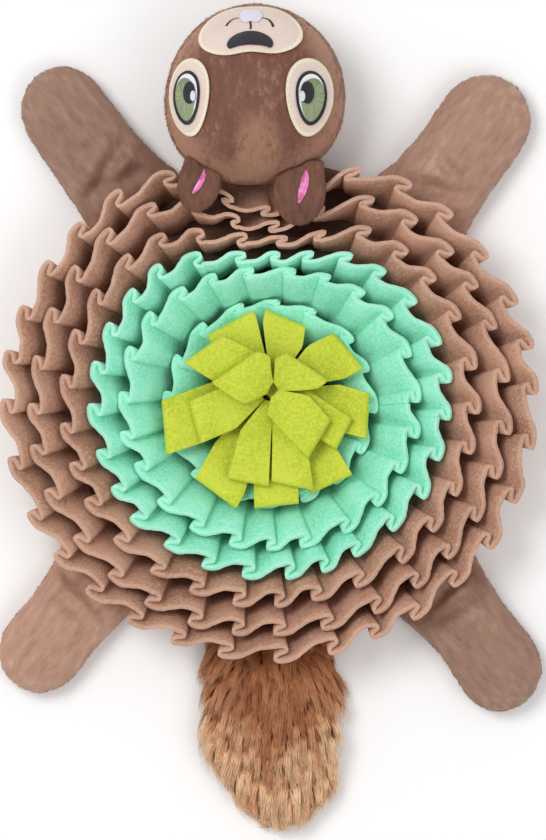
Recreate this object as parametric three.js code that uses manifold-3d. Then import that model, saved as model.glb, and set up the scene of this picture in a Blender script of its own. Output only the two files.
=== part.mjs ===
// A snuffle toy for dogs: a flat plush squirrel whose back is a round mat of pleated fleece ruffles.
// Units are millimetres and +Z is up. The origin is the centre of the mat's underside, the squirrel's head lies
// towards +Y and its tail towards -Y. Azimuths are in degrees, from +X towards +Y.
import * as THREE from "three";
import { ParametricGeometry } from "three/addons/geometries/ParametricGeometry.js";
import { mergeVertices, toCreasedNormals } from "three/addons/utils/BufferGeometryUtils.js";
import Module from "manifold-3d";

const wasm = await Module();
wasm.setup();

// Driving sizes
const GAP = 0.3; // air left between pieces that touch or are sewn together
const FLEECE = 2.2; // thickness of the fleece
const BASE = { radius: 140, height: 8, round: 2.5, facets: 60 };
const RUFFLE_FOOT = BASE.height + GAP;

// The six gathered strips. root and edge are the radii of the sewn line and of the free edge, strip is the cloth's
// height, depth is how far a pleat swings either way, and dent and wide are how far the head pushes the edge inwards
// and over how many degrees to either side.
const RUFFLES = [
  { name: "ruffle_brown_outer", root: 130, edge: 149.5, strip: 38, pleats: 32, depth: 4.6, dent: 33, wide: 17, first: 0.1 },
  { name: "ruffle_brown_middle", root: 114, edge: 134.5, strip: 38, pleats: 31, depth: 4.6, dent: 27.5, wide: 20, first: 0.7 },
  { name: "ruffle_brown_inner", root: 96, edge: 116.5, strip: 38, pleats: 29, depth: 4.6, dent: 19.5, wide: 24, first: 0.3 },
  { name: "ruffle_mint_outer", root: 79, edge: 100, strip: 38, pleats: 27, depth: 4.6, dent: 13, wide: 28, first: 0.6 },
  { name: "ruffle_mint_middle", root: 58, edge: 83.5, strip: 38, pleats: 23, depth: 4.1, dent: 6, wide: 34, first: 0.0 },
  { name: "ruffle_mint_inner", root: 37, edge: 58.7, strip: 27, pleats: 16, depth: 3.4, dent: 0, wide: 40, first: 0.4 },
];
const DENT = { azimuth: 91, power: 3, calm: 0.42 }; // calm is the share of the pleats' depth lost in the dent
const OVAL = 0.045; // how much shorter than across the outermost edge is from head to tail, as a share of it
const BULGE = 3.2; // how far a strip arches off its straight line

// One knife pleat, seen along the strip's width. along is a share of the pitch and out a share of the depth, at the
// sewn line and at the free edge.
const PLEAT = [
  { fold: "dip", rootAlong: 0.0, rootOut: -0.25, along: -0.16, out: -1.0 },
  { fold: "panel", rootAlong: 0.26, rootOut: -0.05, along: 0.3, out: -0.1 },
  { fold: "lip", rootAlong: 0.5, rootOut: 0.25, along: 0.74, out: 1.0 },
  { fold: "turn", rootAlong: 0.66, rootOut: 0.16, along: 0.84, out: 0.45 },
  { fold: "under", rootAlong: 0.8, rootOut: -0.14, along: 0.62, out: -0.45 },
];
const ROWS = [
  { width: 0, open: 0 },
  { width: 0.5, open: 0.6 },
  { width: 1, open: 1 },
];

// The rosette's loops, each a strip folded on itself. The fold's middle lies length away at azimuth, and skew turns
// the fold from square. left and right are how fast the strip spreads to either side, seen from the knot, and tier
// 0 is the lowest.
const ROSETTE = { x: 2, y: 8, knot: 6.7, tier: 8.4, crease: 1.6, starts: [7.4, 7.4, 2.6] };
const LOOPS = [
  { azimuth: 123.5, length: 45.5, tier: 0, skew: -5, width: 29.5, left: 0.7, right: 0.36 },
  { azimuth: 80.5, length: 41.5, tier: 0, skew: -15, width: 25, left: 0.36, right: 0.45 },
  { azimuth: 27, length: 48.5, tier: 0, skew: 14, width: 26.5, left: 0.45, right: 0.355 },
  { azimuth: -16, length: 56.5, tier: 0, skew: 13, width: 26, left: 0.355, right: 0.355 },
  { azimuth: -58.5, length: 64, tier: 0, skew: -7, width: 26, left: 0.355, right: 0.24 },
  { azimuth: -88.5, length: 67, tier: 0, skew: 5, width: 25.5, left: 0.24, right: 0.245 },
  { azimuth: -119, length: 68.5, tier: 0, skew: -8, width: 29, left: 0.245, right: 0.35 },
  { azimuth: 199.5, length: 66.5, tier: 0, skew: -15, width: 31, left: 0.35, right: 0.7 },
  { azimuth: 150.5, length: 46.5, tier: 1, skew: -26, width: 26.5, left: 0.45, right: 0.8 },
  { azimuth: 203, length: 49, tier: 1, skew: -8, width: 25, left: 0.44, right: 0.45 },
  { azimuth: -105, length: 55.5, tier: 1, skew: 4, width: 24.5, left: 0.21, right: 0.44 },
  { azimuth: -79, length: 56.5, tier: 1, skew: -24, width: 25, left: 0.38, right: 0.21 },
  { azimuth: -32.5, length: 48, tier: 1, skew: 6, width: 20, left: 0.8, right: 0.38 },
  { azimuth: 151.5, length: 26, tier: 2, skew: -30, width: 31, left: 1.5, right: 1.3 },
  { azimuth: 32.5, length: 23.5, tier: 2, skew: 27, width: 28, left: 1.3, right: 0.75 },
  { azimuth: -47.5, length: 39, tier: 2, skew: 18, width: 25, left: 0.75, right: 1.5 },
];

// The four flat stuffed limbs, which leave the mat's rim at azimuth and point along heading.
const LIMBS = [
  { name: "limb_front_left", azimuth: 124, heading: 130.6, length: 98, root: 33, waist: 27.6, paw: 25.4, turn: -4 },
  { name: "limb_front_right", azimuth: 51.6, heading: 52, length: 97, root: 34, waist: 28, paw: 27, turn: 3 },
  { name: "limb_back_left", azimuth: 225.2, heading: 232, length: 85, root: 31, waist: 25, paw: 25, turn: 0 },
  { name: "limb_back_right", azimuth: 313, heading: 310.5, length: 93, root: 32, waist: 25, paw: 26, turn: -4.5 },
];
const LIMB_HEIGHT = { rootMid: 4.4, rootCrown: 5, mid: 9.5, crown: 14, rise: 26 };

// The ball of the head, with the face on its top, and the neck that joins it to the mat's rim.
const HEAD = { x: -9, y: 175.8, z: 42, across: 52, along: 52.5, up: 45, jowl: 0.03, columns: 30, rows: 18 };
const NECK = { y: 148, z: 12, across: 38, along: 24, up: 13 };
const FACE_ROLL = -4.5; // the face leans this many degrees to the left
const APPLIQUE = { lift: 0.5, felt: 1.2, stitch: 0.8, facet: 7.5 };

// A patch's centre is fore degrees forward and side degrees to the right of the head's top. Its outline is an egg:
// half sizes wide and long, with point narrowing its near end.
const PATCHES = [
  { name: "eye_patch_left", layer: 0, fore: -4.3, side: -43.5, wide: 15.2, long: 20, point: 0.16, turn: 0, material: "felt" },
  { name: "eye_patch_right", layer: 0, fore: -4.3, side: 43.5, wide: 15.2, long: 20, point: 0.16, turn: 0, material: "felt" },
  { name: "eye_iris_left", layer: 1, fore: -4.7, side: -42.5, wide: 9.8, long: 14, point: 0.16, turn: 0, material: "iris" },
  { name: "eye_iris_right", layer: 1, fore: -4.7, side: 42.5, wide: 9.8, long: 14, point: 0.16, turn: 0, material: "iris" },
  { name: "eye_pupil_left", layer: 2, fore: -0.5, side: -38.3, wide: 4, long: 5.6, point: 0, turn: 0, material: "black" },
  { name: "eye_pupil_right", layer: 2, fore: -0.5, side: 38.3, wide: 4, long: 5.6, point: 0, turn: 0, material: "black" },
  { name: "muzzle_patch", layer: 0, fore: 46.6, side: 1.7, wide: 28.5, long: 20.7, point: 0, turn: 0, material: "felt", dimple: 0.1 },
  { name: "nose", layer: 1, fore: 31.8, side: 2, wide: 11.9, long: 6.7, point: -0.1, turn: 0, material: "black", flat: 0.5 },
  { name: "teeth", layer: 1, fore: 54.5, side: 2.6, wide: 5.8, long: 7, point: 0, turn: 0, material: "white", dimple: 0.2 },
];

// The two ears, from a root on the head to a tip over the ruffles, and the lining in each one's fold.
const EARS = [
  { name: "ear_left", root: [-37, 139, 54], tip: [-44, 108, 55], width: 13, thick: 7, sag: 3 },
  { name: "ear_right", root: [17.5, 139, 56], tip: [16, 100, 55], width: 16, thick: 7.5, sag: 3 },
];
const EAR_SKIN = { columns: 16, stations: 8, groove: 2.6 };
const LINING = { from: 0.24, to: 0.72, half: 11, thick: 0.9, lift: 1, stations: 5, columns: 8 };

// The fur tail: a lumpy slab with pointed locks round its rim and along its back.
const TAIL = { y: -134, length: 112, root: 34, swell: 37.5, thick: 27, drift: 7, columns: 18, stations: 12 };
const LOCKS = { rim: 15, back: 22, length: 23, radius: 6.6, sides: 4 };

const radians = THREE.MathUtils.degToRad;
const smooth = (t) => THREE.MathUtils.smoothstep(t, 0, 1);
const mix = THREE.MathUtils.lerp;

// A geometry with its doubled corners merged, its empty triangles dropped and its faces pointing out.
function closed(geometry) {
  const bare = new THREE.BufferGeometry();
  bare.setAttribute("position", geometry.getAttribute("position"));
  if (geometry.index) bare.setIndex(geometry.index);
  const merged = mergeVertices(bare, 1e-3);
  const corners = merged.getAttribute("position");
  const faces = [];
  let volume = 0;
  const [a, b, c] = [new THREE.Vector3(), new THREE.Vector3(), new THREE.Vector3()];
  for (let i = 0; i < merged.index.count; i += 3) {
    const [p, q, r] = [0, 1, 2].map((k) => merged.index.getX(i + k));
    if (p === q || q === r || r === p) continue;
    faces.push(p, q, r);
    a.fromBufferAttribute(corners, p);
    b.fromBufferAttribute(corners, q);
    c.fromBufferAttribute(corners, r);
    volume += a.dot(b.cross(c));
  }
  merged.setIndex(volume < 0 ? faces.reverse() : faces);
  return merged;
}

// A closed skin through a grid of points: at(column, row) is asked for columns 0 to columns - 1 and rows 0 to rows.
function skin(at, columns, rows) {
  const point = (u, v, target) => target.copy(at(Math.round(u * columns) % columns, Math.round(v * rows)));
  return closed(new ParametricGeometry(point, columns, rows));
}

function toManifold(geometry) {
  return new wasm.Manifold(
    new wasm.Mesh({
      numProp: 3,
      vertProperties: geometry.getAttribute("position").array,
      triVerts: new Uint32Array(geometry.index.array),
    }),
  );
}

function fromManifold(manifold) {
  const mesh = manifold.getMesh();
  const geometry = new THREE.BufferGeometry();
  geometry.setAttribute("position", new THREE.BufferAttribute(mesh.vertProperties, 3));
  geometry.setIndex(new THREE.BufferAttribute(mesh.triVerts, 1));
  return geometry;
}

// Materials
const finish = (color, roughness) => new THREE.MeshStandardMaterial({ color, roughness, metalness: 0 });
const MATERIALS = {
  brownFleece: finish(0xb1846c, 0.95),
  mintFleece: finish(0x86dfba, 0.95),
  limeFleece: finish(0xbccb3f, 0.95),
  plush: finish(0x9a705c, 0.9),
  darkPlush: finish(0x6b4a3d, 0.95),
  fur: finish(0xb07447, 0.85),
  felt: finish(0xead8cd, 0.9),
  iris: finish(0x8fa274, 0.6),
  black: finish(0x2b2a2e, 0.6),
  white: finish(0xf2f0f4, 0.6),
  satin: finish(0xc97aa0, 0.45),
};
const CREASE = radians(50);

const toy = new THREE.Group();

function addPiece(name, geometry, material) {
  const mesh = new THREE.Mesh(toCreasedNormals(geometry, CREASE), material);
  mesh.name = name;
  toy.add(mesh);
}

// The mat's body is a flat disc with a rounded rim.
function makeBase() {
  const { radius, height, round, facets } = BASE;
  const profile = [
    new THREE.Vector2(0, 0),
    new THREE.Vector2(radius - round, 0),
    new THREE.Vector2(radius, round),
    new THREE.Vector2(radius, height - round),
    new THREE.Vector2(radius - round, height),
    new THREE.Vector2(0, height),
  ];
  return closed(new THREE.LatheGeometry(profile, facets).rotateX(Math.PI / 2));
}

// What is cut from each piece that is sewn to the rim or hangs over it, so that it clears the base by a gap.
function baseCutter(top) {
  const radius = BASE.radius + GAP;
  const drum = new THREE.CylinderGeometry(radius, radius, 2 * top, BASE.facets);
  return toManifold(closed(drum.rotateX(Math.PI / 2)));
}
const RIM = baseCutter(100);
const DECK = baseCutter(RUFFLE_FOOT);

// How deep in the head's dent an azimuth lies, from 0 to 1.
function dentAt(ruffle, azimuth) {
  const away = THREE.MathUtils.euclideanModulo(azimuth - DENT.azimuth + 180, 360) - 180;
  return Math.exp(-(Math.abs(away / ruffle.wide) ** DENT.power));
}

// A ruffle's section at an azimuth: its radius and height at a share of the strip's width, and the way pleats swing.
function sectionAt(ruffle, azimuth, width) {
  const oval = OVAL * (ruffle.edge / RUFFLES[0].edge) * Math.sin(radians(azimuth)) ** 2;
  const edge = ruffle.edge * (1 - oval) - ruffle.dent * dentAt(ruffle, azimuth);
  const reach = edge - ruffle.root;
  const rise = Math.sqrt(ruffle.strip ** 2 - reach ** 2);
  const arch = (BULGE * 4 * width * (1 - width)) / ruffle.strip;
  const lean = Math.atan2(rise, reach);
  const swing = 0.45 * width * (lean - Math.PI / 2);
  return {
    radius: ruffle.root + reach * width - rise * arch,
    height: RUFFLE_FOOT + rise * width + reach * arch,
    swingOut: Math.cos(swing),
    swingUp: Math.sin(swing),
  };
}

// Where pleat number i starts, in pitches, and how deep it is. Whole waves per turn keep the ring closed.
function pleatStart(ruffle, i) {
  const turn = (2 * Math.PI * i) / ruffle.pleats;
  return i + 0.09 * Math.sin(5 * turn + ruffle.root) + 0.06 * Math.sin(9 * turn + ruffle.edge);
}

function pleatDepth(ruffle, i) {
  const turn = (2 * Math.PI * i) / ruffle.pleats;
  return ruffle.depth * (0.9 + 0.1 * Math.sin(7 * turn + ruffle.edge));
}

// The strip's middle line in one row, as points of along, in pitches, and out, in millimetres.
function middleLine(ruffle, row) {
  const line = [];
  for (let i = 0; i < ruffle.pleats; i++) {
    const start = pleatStart(ruffle, i);
    const pitch = pleatStart(ruffle, i + 1) - start;
    const azimuth = azimuthOf(ruffle, start);
    const depth = pleatDepth(ruffle, i) * (1 - DENT.calm * dentAt(ruffle, azimuth));
    for (const fold of PLEAT) {
      line.push({
        along: start + pitch * mix(fold.rootAlong, fold.along, row.open),
        out: depth * mix(fold.rootOut, fold.out, row.open),
      });
    }
  }
  return line;
}

// Pleats run clockwise, so the azimuth falls as along grows.
function azimuthOf(ruffle, along) {
  return -((along + ruffle.first) * 360) / ruffle.pleats;
}

// The middle line moved sideways by half the cloth's thickness, with mitred corners.
function faceLine(ruffle, line, row, side) {
  const count = line.length;
  const pitch = (2 * Math.PI * mix(ruffle.root, ruffle.edge, row.width)) / ruffle.pleats;
  const place = (k) => {
    const wraps = Math.floor(k / count);
    const point = line[k - wraps * count];
    return new THREE.Vector2((point.along + wraps * ruffle.pleats) * pitch, point.out);
  };
  return line.map((_, k) => {
    const before = place(k).sub(place(k - 1)).normalize();
    const after = place(k + 1).sub(place(k)).normalize();
    const normal = new THREE.Vector2(-before.y - after.y, before.x + after.x).normalize();
    const reach = (side * FLEECE) / 2 / Math.max(0.5, normal.dot(new THREE.Vector2(-before.y, before.x)));
    const moved = place(k).addScaledVector(normal, reach);
    return { along: moved.x / pitch, out: moved.y };
  });
}

function makeRuffle(ruffle) {
  const lines = ROWS.map((row) => middleLine(ruffle, row));
  const outer = ROWS.map((row, j) => ({ row, line: faceLine(ruffle, lines[j], row, 1) }));
  const inner = ROWS.map((row, j) => ({ row, line: faceLine(ruffle, lines[j], row, -1) })).reverse();
  const loop = [...outer, ...inner];
  const at = (column, j) => {
    const { row, line } = loop[j % loop.length];
    const { along, out } = line[column];
    const azimuth = azimuthOf(ruffle, along);
    const section = sectionAt(ruffle, azimuth, row.width);
    const radius = section.radius + out * section.swingOut;
    return new THREE.Vector3(
      radius * Math.cos(radians(azimuth)),
      radius * Math.sin(radians(azimuth)),
      section.height + out * section.swingUp,
    );
  };
  return skin(at, ruffle.pleats * PLEAT.length, loop.length);
}

// The bowl in which the rosette lies: its height over the mat's middle and up the innermost ruffle.
function bowlHeight(distance) {
  return 14 + 21.5 * (distance / 62) ** 1.2;
}

// A loop's own section: the two edges of the cloth at stations that go out along the lower layer, round the fold and
// back along the upper one.
function loopStations(length) {
  const open = [0.7, 1.1, 1.4, 1.7]; // half the air between the layers, from the knot to the fold
  const last = length - open[3] - FLEECE;
  const layer = (side) =>
    open.map((air, k) => [air, air + FLEECE].map((y) => new THREE.Vector2((last * k) / 3, side * y)));
  const fold = [-45, 0, 45].map((angle) =>
    [open[3], open[3] + FLEECE].map(
      (radius) => new THREE.Vector2(last + radius * Math.cos(radians(angle)), radius * Math.sin(radians(angle))),
    ),
  );
  return [...layer(-1), ...fold, ...layer(1).reverse()];
}

// The corners round a loop's strip: its outer face from right to left, and its inner face back again.
const STRIP_CORNERS = [
  { side: -1, face: 1 },
  { side: 0, face: 1 },
  { side: 1, face: 1 },
  { side: 1, face: 0 },
  { side: 0, face: 0 },
  { side: -1, face: 0 },
];

function makeLoop(loop) {
  const start = ROSETTE.starts[loop.tier];
  const reach = loop.length - start;
  const stations = loopStations(reach);
  const heading = radians(loop.azimuth);
  const place = (point, side) => {
    const share = point.x / reach;
    const distance = start + point.x;
    const spread = side > 0 ? loop.left : loop.right;
    const offset = side * Math.min(loop.width / 2, spread * distance);
    const across = heading + Math.PI / 2 + radians(loop.skew) * share ** 2;
    const ridge = ROSETTE.crease * (1 - Math.abs(side)) * (1 - share);
    const x = ROSETTE.x + distance * Math.cos(heading) + offset * Math.cos(across);
    const y = ROSETTE.y + distance * Math.sin(heading) + offset * Math.sin(across);
    return new THREE.Vector3(x, y, bowlHeight(Math.hypot(x, y)) + loop.tier * ROSETTE.tier + ridge + point.y);
  };
  const at = (column, row) => {
    const station = stations[THREE.MathUtils.clamp(row - 1, 0, stations.length - 1)];
    if (row === 0 || row > stations.length) return place(station[0].clone().lerp(station[1], 0.5), 0);
    const corner = STRIP_CORNERS[column];
    return place(station[corner.face], corner.side);
  };
  return skin(at, STRIP_CORNERS.length, stations.length + 1);
}

// The gathered ends of the strips, wound and sewn down in the middle.
function makeKnot() {
  const height = bowlHeight(Math.hypot(ROSETTE.x, ROSETTE.y)) + 2 * ROSETTE.tier - 4.6 - RUFFLE_FOOT;
  const knot = new THREE.CylinderGeometry(ROSETTE.knot - 1.5, ROSETTE.knot, height, 16).rotateX(Math.PI / 2);
  return closed(knot.translate(ROSETTE.x, ROSETTE.y, RUFFLE_FOOT + height / 2));
}

// A limb lies flat on the floor, is thin where it goes under the ruffles and is full at the paw.
function makeLimb(limb) {
  const columns = 14;
  const stations = 11;
  const start = BASE.radius - 6;
  const root = new THREE.Vector2(Math.cos(radians(limb.azimuth)), Math.sin(radians(limb.azimuth)));
  const at = (column, row) => {
    const share = row / stations;
    const distance = limb.length * Math.sin((share * Math.PI) / 2) ** 0.9;
    const bend = radians(limb.heading + (limb.turn * distance) / limb.length);
    const ahead = new THREE.Vector2(Math.cos(bend), Math.sin(bend));
    const beside = new THREE.Vector2(-ahead.y, ahead.x);
    const toTip = THREE.MathUtils.clamp((distance - limb.length + limb.paw) / limb.paw, 0, 1);
    const round = Math.sqrt(1 - toTip ** 2);
    const t = distance / limb.length;
    const half = mix(mix(limb.root, limb.waist, smooth(t * 2.2)), limb.paw, smooth(t * 2 - 0.8)) * round;
    const lifted = smooth(distance / LIMB_HEIGHT.rise);
    const mid = mix(LIMB_HEIGHT.rootMid, LIMB_HEIGHT.mid, lifted);
    const crease = 1 - 0.16 * Math.exp(-(((t - 0.33) / 0.07) ** 2));
    const crown = mix(LIMB_HEIGHT.rootCrown, LIMB_HEIGHT.crown, lifted) * round ** 0.8 * crease;
    const angle = (2 * Math.PI * column) / columns;
    const [swing, lift] = [Math.cos(angle), Math.sin(angle)];
    const under = -mid * Math.min(1, -1.35 * lift) * round ** 0.5;
    const height = row === 0 ? mid : mid + (lift > 0 ? crown * lift : under);
    const centre = root.clone().multiplyScalar(start).addScaledVector(ahead, distance);
    const spot = centre.addScaledVector(beside, row === 0 ? 0 : half * Math.sign(swing) * Math.abs(swing) ** 0.85);
    return new THREE.Vector3(spot.x, spot.y, Math.max(0, height));
  };
  // The first row is a point in the middle of the root, and the second row spreads round it.
  const withRoot = (column, row) => at(column, row === 1 ? 0.04 : row);
  return fromManifold(toManifold(skin(withRoot, columns, stations)).subtract(RIM));
}

// A point of the head's skin in a direction from its centre, lifted off it by lift.
function headPoint(direction, lift = 0) {
  const around = Math.atan2(direction.y, direction.x);
  const level = 1 - direction.z ** 2;
  const fromBack = Math.abs(Math.atan2(direction.x, -direction.y));
  const jowl = HEAD.jowl * Math.exp(-(((fromBack - 0.9) / 0.45) ** 2));
  const cheek = 1 + level * (0.012 * Math.cos(3 * around + 0.9) + 0.012 * Math.sin(2 * around) + jowl);
  const point = new THREE.Vector3(
    HEAD.x + HEAD.across * cheek * direction.x,
    HEAD.y + HEAD.along * cheek * direction.y,
    HEAD.z + HEAD.up * direction.z,
  );
  const normal = new THREE.Vector3(
    direction.x / HEAD.across,
    direction.y / HEAD.along,
    direction.z / HEAD.up,
  ).normalize();
  return point.addScaledVector(normal, lift);
}

function headSkin(lift) {
  const ball = new THREE.SphereGeometry(1, HEAD.columns, HEAD.rows).rotateX(Math.PI / 2);
  const points = ball.getAttribute("position");
  for (let i = 0; i < points.count; i++) {
    const point = headPoint(new THREE.Vector3().fromBufferAttribute(points, i).normalize(), lift);
    points.setXYZ(i, point.x, point.y, Math.max(0, point.z));
  }
  return toManifold(closed(ball));
}

function makeHead() {
  const neck = new THREE.SphereGeometry(1, 18, 10).rotateX(Math.PI / 2);
  const points = neck.getAttribute("position");
  for (let i = 0; i < points.count; i++) {
    const height = Math.max(0, NECK.z + NECK.up * points.getZ(i));
    points.setXYZ(i, HEAD.x + NECK.across * points.getX(i), NECK.y + NECK.along * points.getY(i), height);
  }
  const collar = toManifold(closed(neck)).subtract(RIM);
  return fromManifold(headSkin(0).subtract(DECK).add(collar));
}

// The direction that lies across and ahead, in millimetres over the head's skin, from a patch's centre.
function patchDirection(patch, across, ahead) {
  const mean = (HEAD.across + HEAD.up) / 2;
  const centre = new THREE.Vector3(0, 0, 1)
    .applyAxisAngle(new THREE.Vector3(0, 1, 0), radians(patch.side + FACE_ROLL))
    .applyAxisAngle(new THREE.Vector3(1, 0, 0), radians(-patch.fore));
  const right = new THREE.Vector3(1, 0, 0);
  right.addScaledVector(centre, -right.dot(centre)).normalize();
  const forward = new THREE.Vector3().crossVectors(centre, right);
  const turn = radians(patch.turn);
  const [x, y] = [
    across * Math.cos(turn) - ahead * Math.sin(turn),
    across * Math.sin(turn) + ahead * Math.cos(turn),
  ];
  const length = Math.hypot(x, y);
  if (length < 1e-6) return centre;
  const toward = right.multiplyScalar(x / length).addScaledVector(forward, y / length);
  return centre.multiplyScalar(Math.cos(length / mean)).addScaledVector(toward, Math.sin(length / mean));
}

// A patch's outline: an egg that may be flat at its near end or have a dimple in the middle of it.
function patchOutline(patch, angle) {
  const across = Math.cos(angle) * patch.wide * (1 + patch.point * Math.sin(angle));
  let ahead = Math.sin(angle) * patch.long;
  if (patch.flat) ahead = Math.max(ahead, -patch.long * patch.flat);
  if (patch.dimple) ahead *= 1 - patch.dimple * 1.6 * Math.exp(-((across / (patch.wide * 0.4)) ** 2));
  return [across, ahead];
}

function makePatch(patch) {
  const columns = patch.layer === 0 ? 22 : 14;
  const rings = Math.ceil(Math.max(patch.wide, patch.long) / APPLIQUE.facet);
  const below = [0, APPLIQUE.felt + GAP, APPLIQUE.felt + APPLIQUE.stitch + 2 * GAP][patch.layer];
  const floor = APPLIQUE.lift + below;
  const roof = floor + (patch.layer === 0 ? APPLIQUE.felt : APPLIQUE.stitch);
  const at = (column, row) => {
    const onTop = row <= rings;
    const share = (onTop ? row : 2 * rings + 1 - row) / rings;
    const [across, ahead] = patchOutline(patch, (2 * Math.PI * column) / columns);
    return headPoint(patchDirection(patch, across * share, ahead * share), onTop ? roof : floor);
  };
  return skin(at, columns, 2 * rings + 1);
}

// An ear is a stuffed flap with a fold down its upper side. share runs from root to tip, and angle goes round it.
function earPoint(ear, share, angle, lift = 0) {
  const [root, tip] = [new THREE.Vector3(...ear.root), new THREE.Vector3(...ear.tip)];
  const ahead = tip.clone().sub(root).normalize();
  const beside = new THREE.Vector3().crossVectors(ahead, new THREE.Vector3(0, 0, 1)).normalize();
  const above = new THREE.Vector3().crossVectors(beside, ahead);
  const full = Math.sqrt(Math.max(0, 1 - Math.max(0, (share - 0.45) / 0.55) ** 2));
  const half = ear.width * mix(0.86, 1, smooth(share * 2)) * full;
  const thick = ear.thick * mix(0.9, 1, smooth(share * 2)) * full ** 0.7;
  const sideways = half * Math.cos(angle);
  const fold = Math.exp(-((sideways / 4.2) ** 2)) * EAR_SKIN.groove * full;
  const height = thick * Math.sin(angle) - (Math.sin(angle) > 0 ? fold : 0) + lift;
  const sag = ear.sag * 4 * share * (1 - share);
  return root
    .lerp(tip, share)
    .addScaledVector(beside, sideways)
    .addScaledVector(above, height + sag);
}

function makeEar(ear) {
  const { columns, stations } = EAR_SKIN;
  const at = (column, row) => {
    if (row === 0) return earPoint(ear, 0, 0).lerp(earPoint(ear, 0, Math.PI), 0.5);
    const share = Math.min(1, Math.sin((((row - 1) / (stations - 1)) * Math.PI) / 2));
    return earPoint(ear, share, (2 * Math.PI * column) / columns);
  };
  const flap = toManifold(skin(at, columns, stations));
  return fromManifold(flap.subtract(headSkin(GAP)));
}

function makeLining(ear) {
  const { from, to, half, thick, stations, columns } = LINING;
  const over = columns / 2 - 1;
  const at = (column, row) => {
    const share = mix(from, to, THREE.MathUtils.clamp((row - 1) / (stations - 2), 0, 1));
    const onTop = column <= over;
    const step = onTop ? column : columns - 1 - column;
    const angle = radians(90 + mix(-half, half, step / over));
    const centred = row === 0 || row === stations;
    return earPoint(ear, share, centred ? Math.PI / 2 : angle, (centred ? 0.5 : onTop ? 1 : 0) * thick + LINING.lift);
  };
  return skin(at, columns, stations);
}

// How far to the right the tail's middle lies at a share of its length.
function tailMiddle(share) {
  return TAIL.drift * (share - 0.25);
}

// Half the tail's width and thickness at a share of its length.
function tailSize(share) {
  const belly = mix(TAIL.root, TAIL.swell, smooth(share * 2.1));
  const taper = Math.sqrt(Math.max(0, 1 - Math.max(0, (share - 0.42) / 0.58) ** 2.1));
  const rise = mix(4.6, TAIL.thick / 2, smooth(share * 3.2));
  return { half: belly * taper, thick: rise * taper ** 0.8 };
}

function makeTail() {
  const { columns, stations, length } = TAIL;
  const at = (column, row) => {
    const share = row === 1 ? 0.002 : Math.sin(((row / stations) * Math.PI) / 2) ** 1.1;
    const { half, thick } = tailSize(share);
    const angle = (2 * Math.PI * column) / columns;
    const lump = 1 + 0.05 * Math.sin(3 * angle + 9 * share) + 0.035 * Math.sin(5 * angle - 14 * share);
    const lift = Math.sin(angle);
    const middle = mix(4.6, TAIL.thick / 2, smooth(share * 3.2)) * 0.9;
    const across = row === 0 ? 0 : half * Math.cos(angle) * lump;
    const up = row === 0 ? 0 : lift > 0 ? thick * lift * lump : Math.max(-1, 1.3 * lift) * middle;
    return new THREE.Vector3(across + tailMiddle(share), TAIL.y - length * share, Math.max(0, middle + up));
  };
  let fur = toManifold(skin(at, columns, stations));
  for (const lock of tailLocks()) fur = fur.add(lock);
  return fromManifold(fur.subtract(RIM));
}

// Locks of fur, as thin pyramids that start in the slab and point away from the rim towards the tip.
function tailLocks() {
  const locks = [];
  const add = (from, heading, climb, scale) => {
    const length = LOCKS.length * scale;
    const cone = new THREE.ConeGeometry(LOCKS.radius * scale, length, LOCKS.sides);
    cone.scale(1, 1, 0.6).translate(0, length / 2, 0).rotateX(climb).rotateZ(heading - Math.PI / 2);
    locks.push(toManifold(closed(cone.translate(from.x, from.y, from.z))));
  };
  for (let k = 0; k <= 2 * LOCKS.rim; k++) {
    const side = k / LOCKS.rim - 1; // -1 on the left at the root, 0 at the tip, 1 on the right
    const share = 0.14 + 0.8 * (1 - Math.abs(side) ** 1.25);
    const { half, thick } = tailSize(share);
    const uneven = (1 + 0.18 * Math.sin(5.3 * k)) * (0.68 + 0.32 * Math.abs(side));
    const from = new THREE.Vector3(
      Math.sign(side) * half * 0.72 + tailMiddle(share),
      TAIL.y - TAIL.length * share * 0.96,
      Math.max(6, thick * 0.85),
    );
    add(from, radians(-90 + 46 * side), radians(-4 + 4 * Math.sin(3.7 * k)), uneven);
  }
  for (let k = 0; k < LOCKS.back; k++) {
    const share = 0.2 + 0.62 * (k / LOCKS.back);
    const side = Math.sin(2.4 * k) * 0.72;
    const { half, thick } = tailSize(share);
    const top = thick * Math.sqrt(1 - side ** 2) + mix(4.6, TAIL.thick / 2, smooth(share * 3.2)) * 0.9;
    const from = new THREE.Vector3(side * half * 0.9 + tailMiddle(share), TAIL.y - TAIL.length * share, top - 5.5);
    add(from, radians(-90 + 22 * side), radians(5 + 4 * Math.sin(1.9 * k)), 0.9 + 0.15 * Math.sin(4.1 * k));
  }
  return locks;
}

addPiece("base", makeBase(), MATERIALS.darkPlush);
for (const ruffle of RUFFLES) {
  const cloth = ruffle.name.includes("mint") ? MATERIALS.mintFleece : MATERIALS.brownFleece;
  addPiece(ruffle.name, makeRuffle(ruffle), cloth);
}
addPiece("rosette_knot", makeKnot(), MATERIALS.limeFleece);
LOOPS.forEach((loop, i) => addPiece(`rosette_loop_${i + 1}`, makeLoop(loop), MATERIALS.limeFleece));
for (const limb of LIMBS) addPiece(limb.name, makeLimb(limb), MATERIALS.plush);
addPiece("head", makeHead(), MATERIALS.plush);
for (const patch of PATCHES) addPiece(patch.name, makePatch(patch), MATERIALS[patch.material]);
for (const ear of EARS) {
  addPiece(ear.name, makeEar(ear), MATERIALS.plush);
  addPiece(`${ear.name}_lining`, makeLining(ear), MATERIALS.satin);
}
addPiece("tail", makeTail(), MATERIALS.fur);

export default toy;
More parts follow.
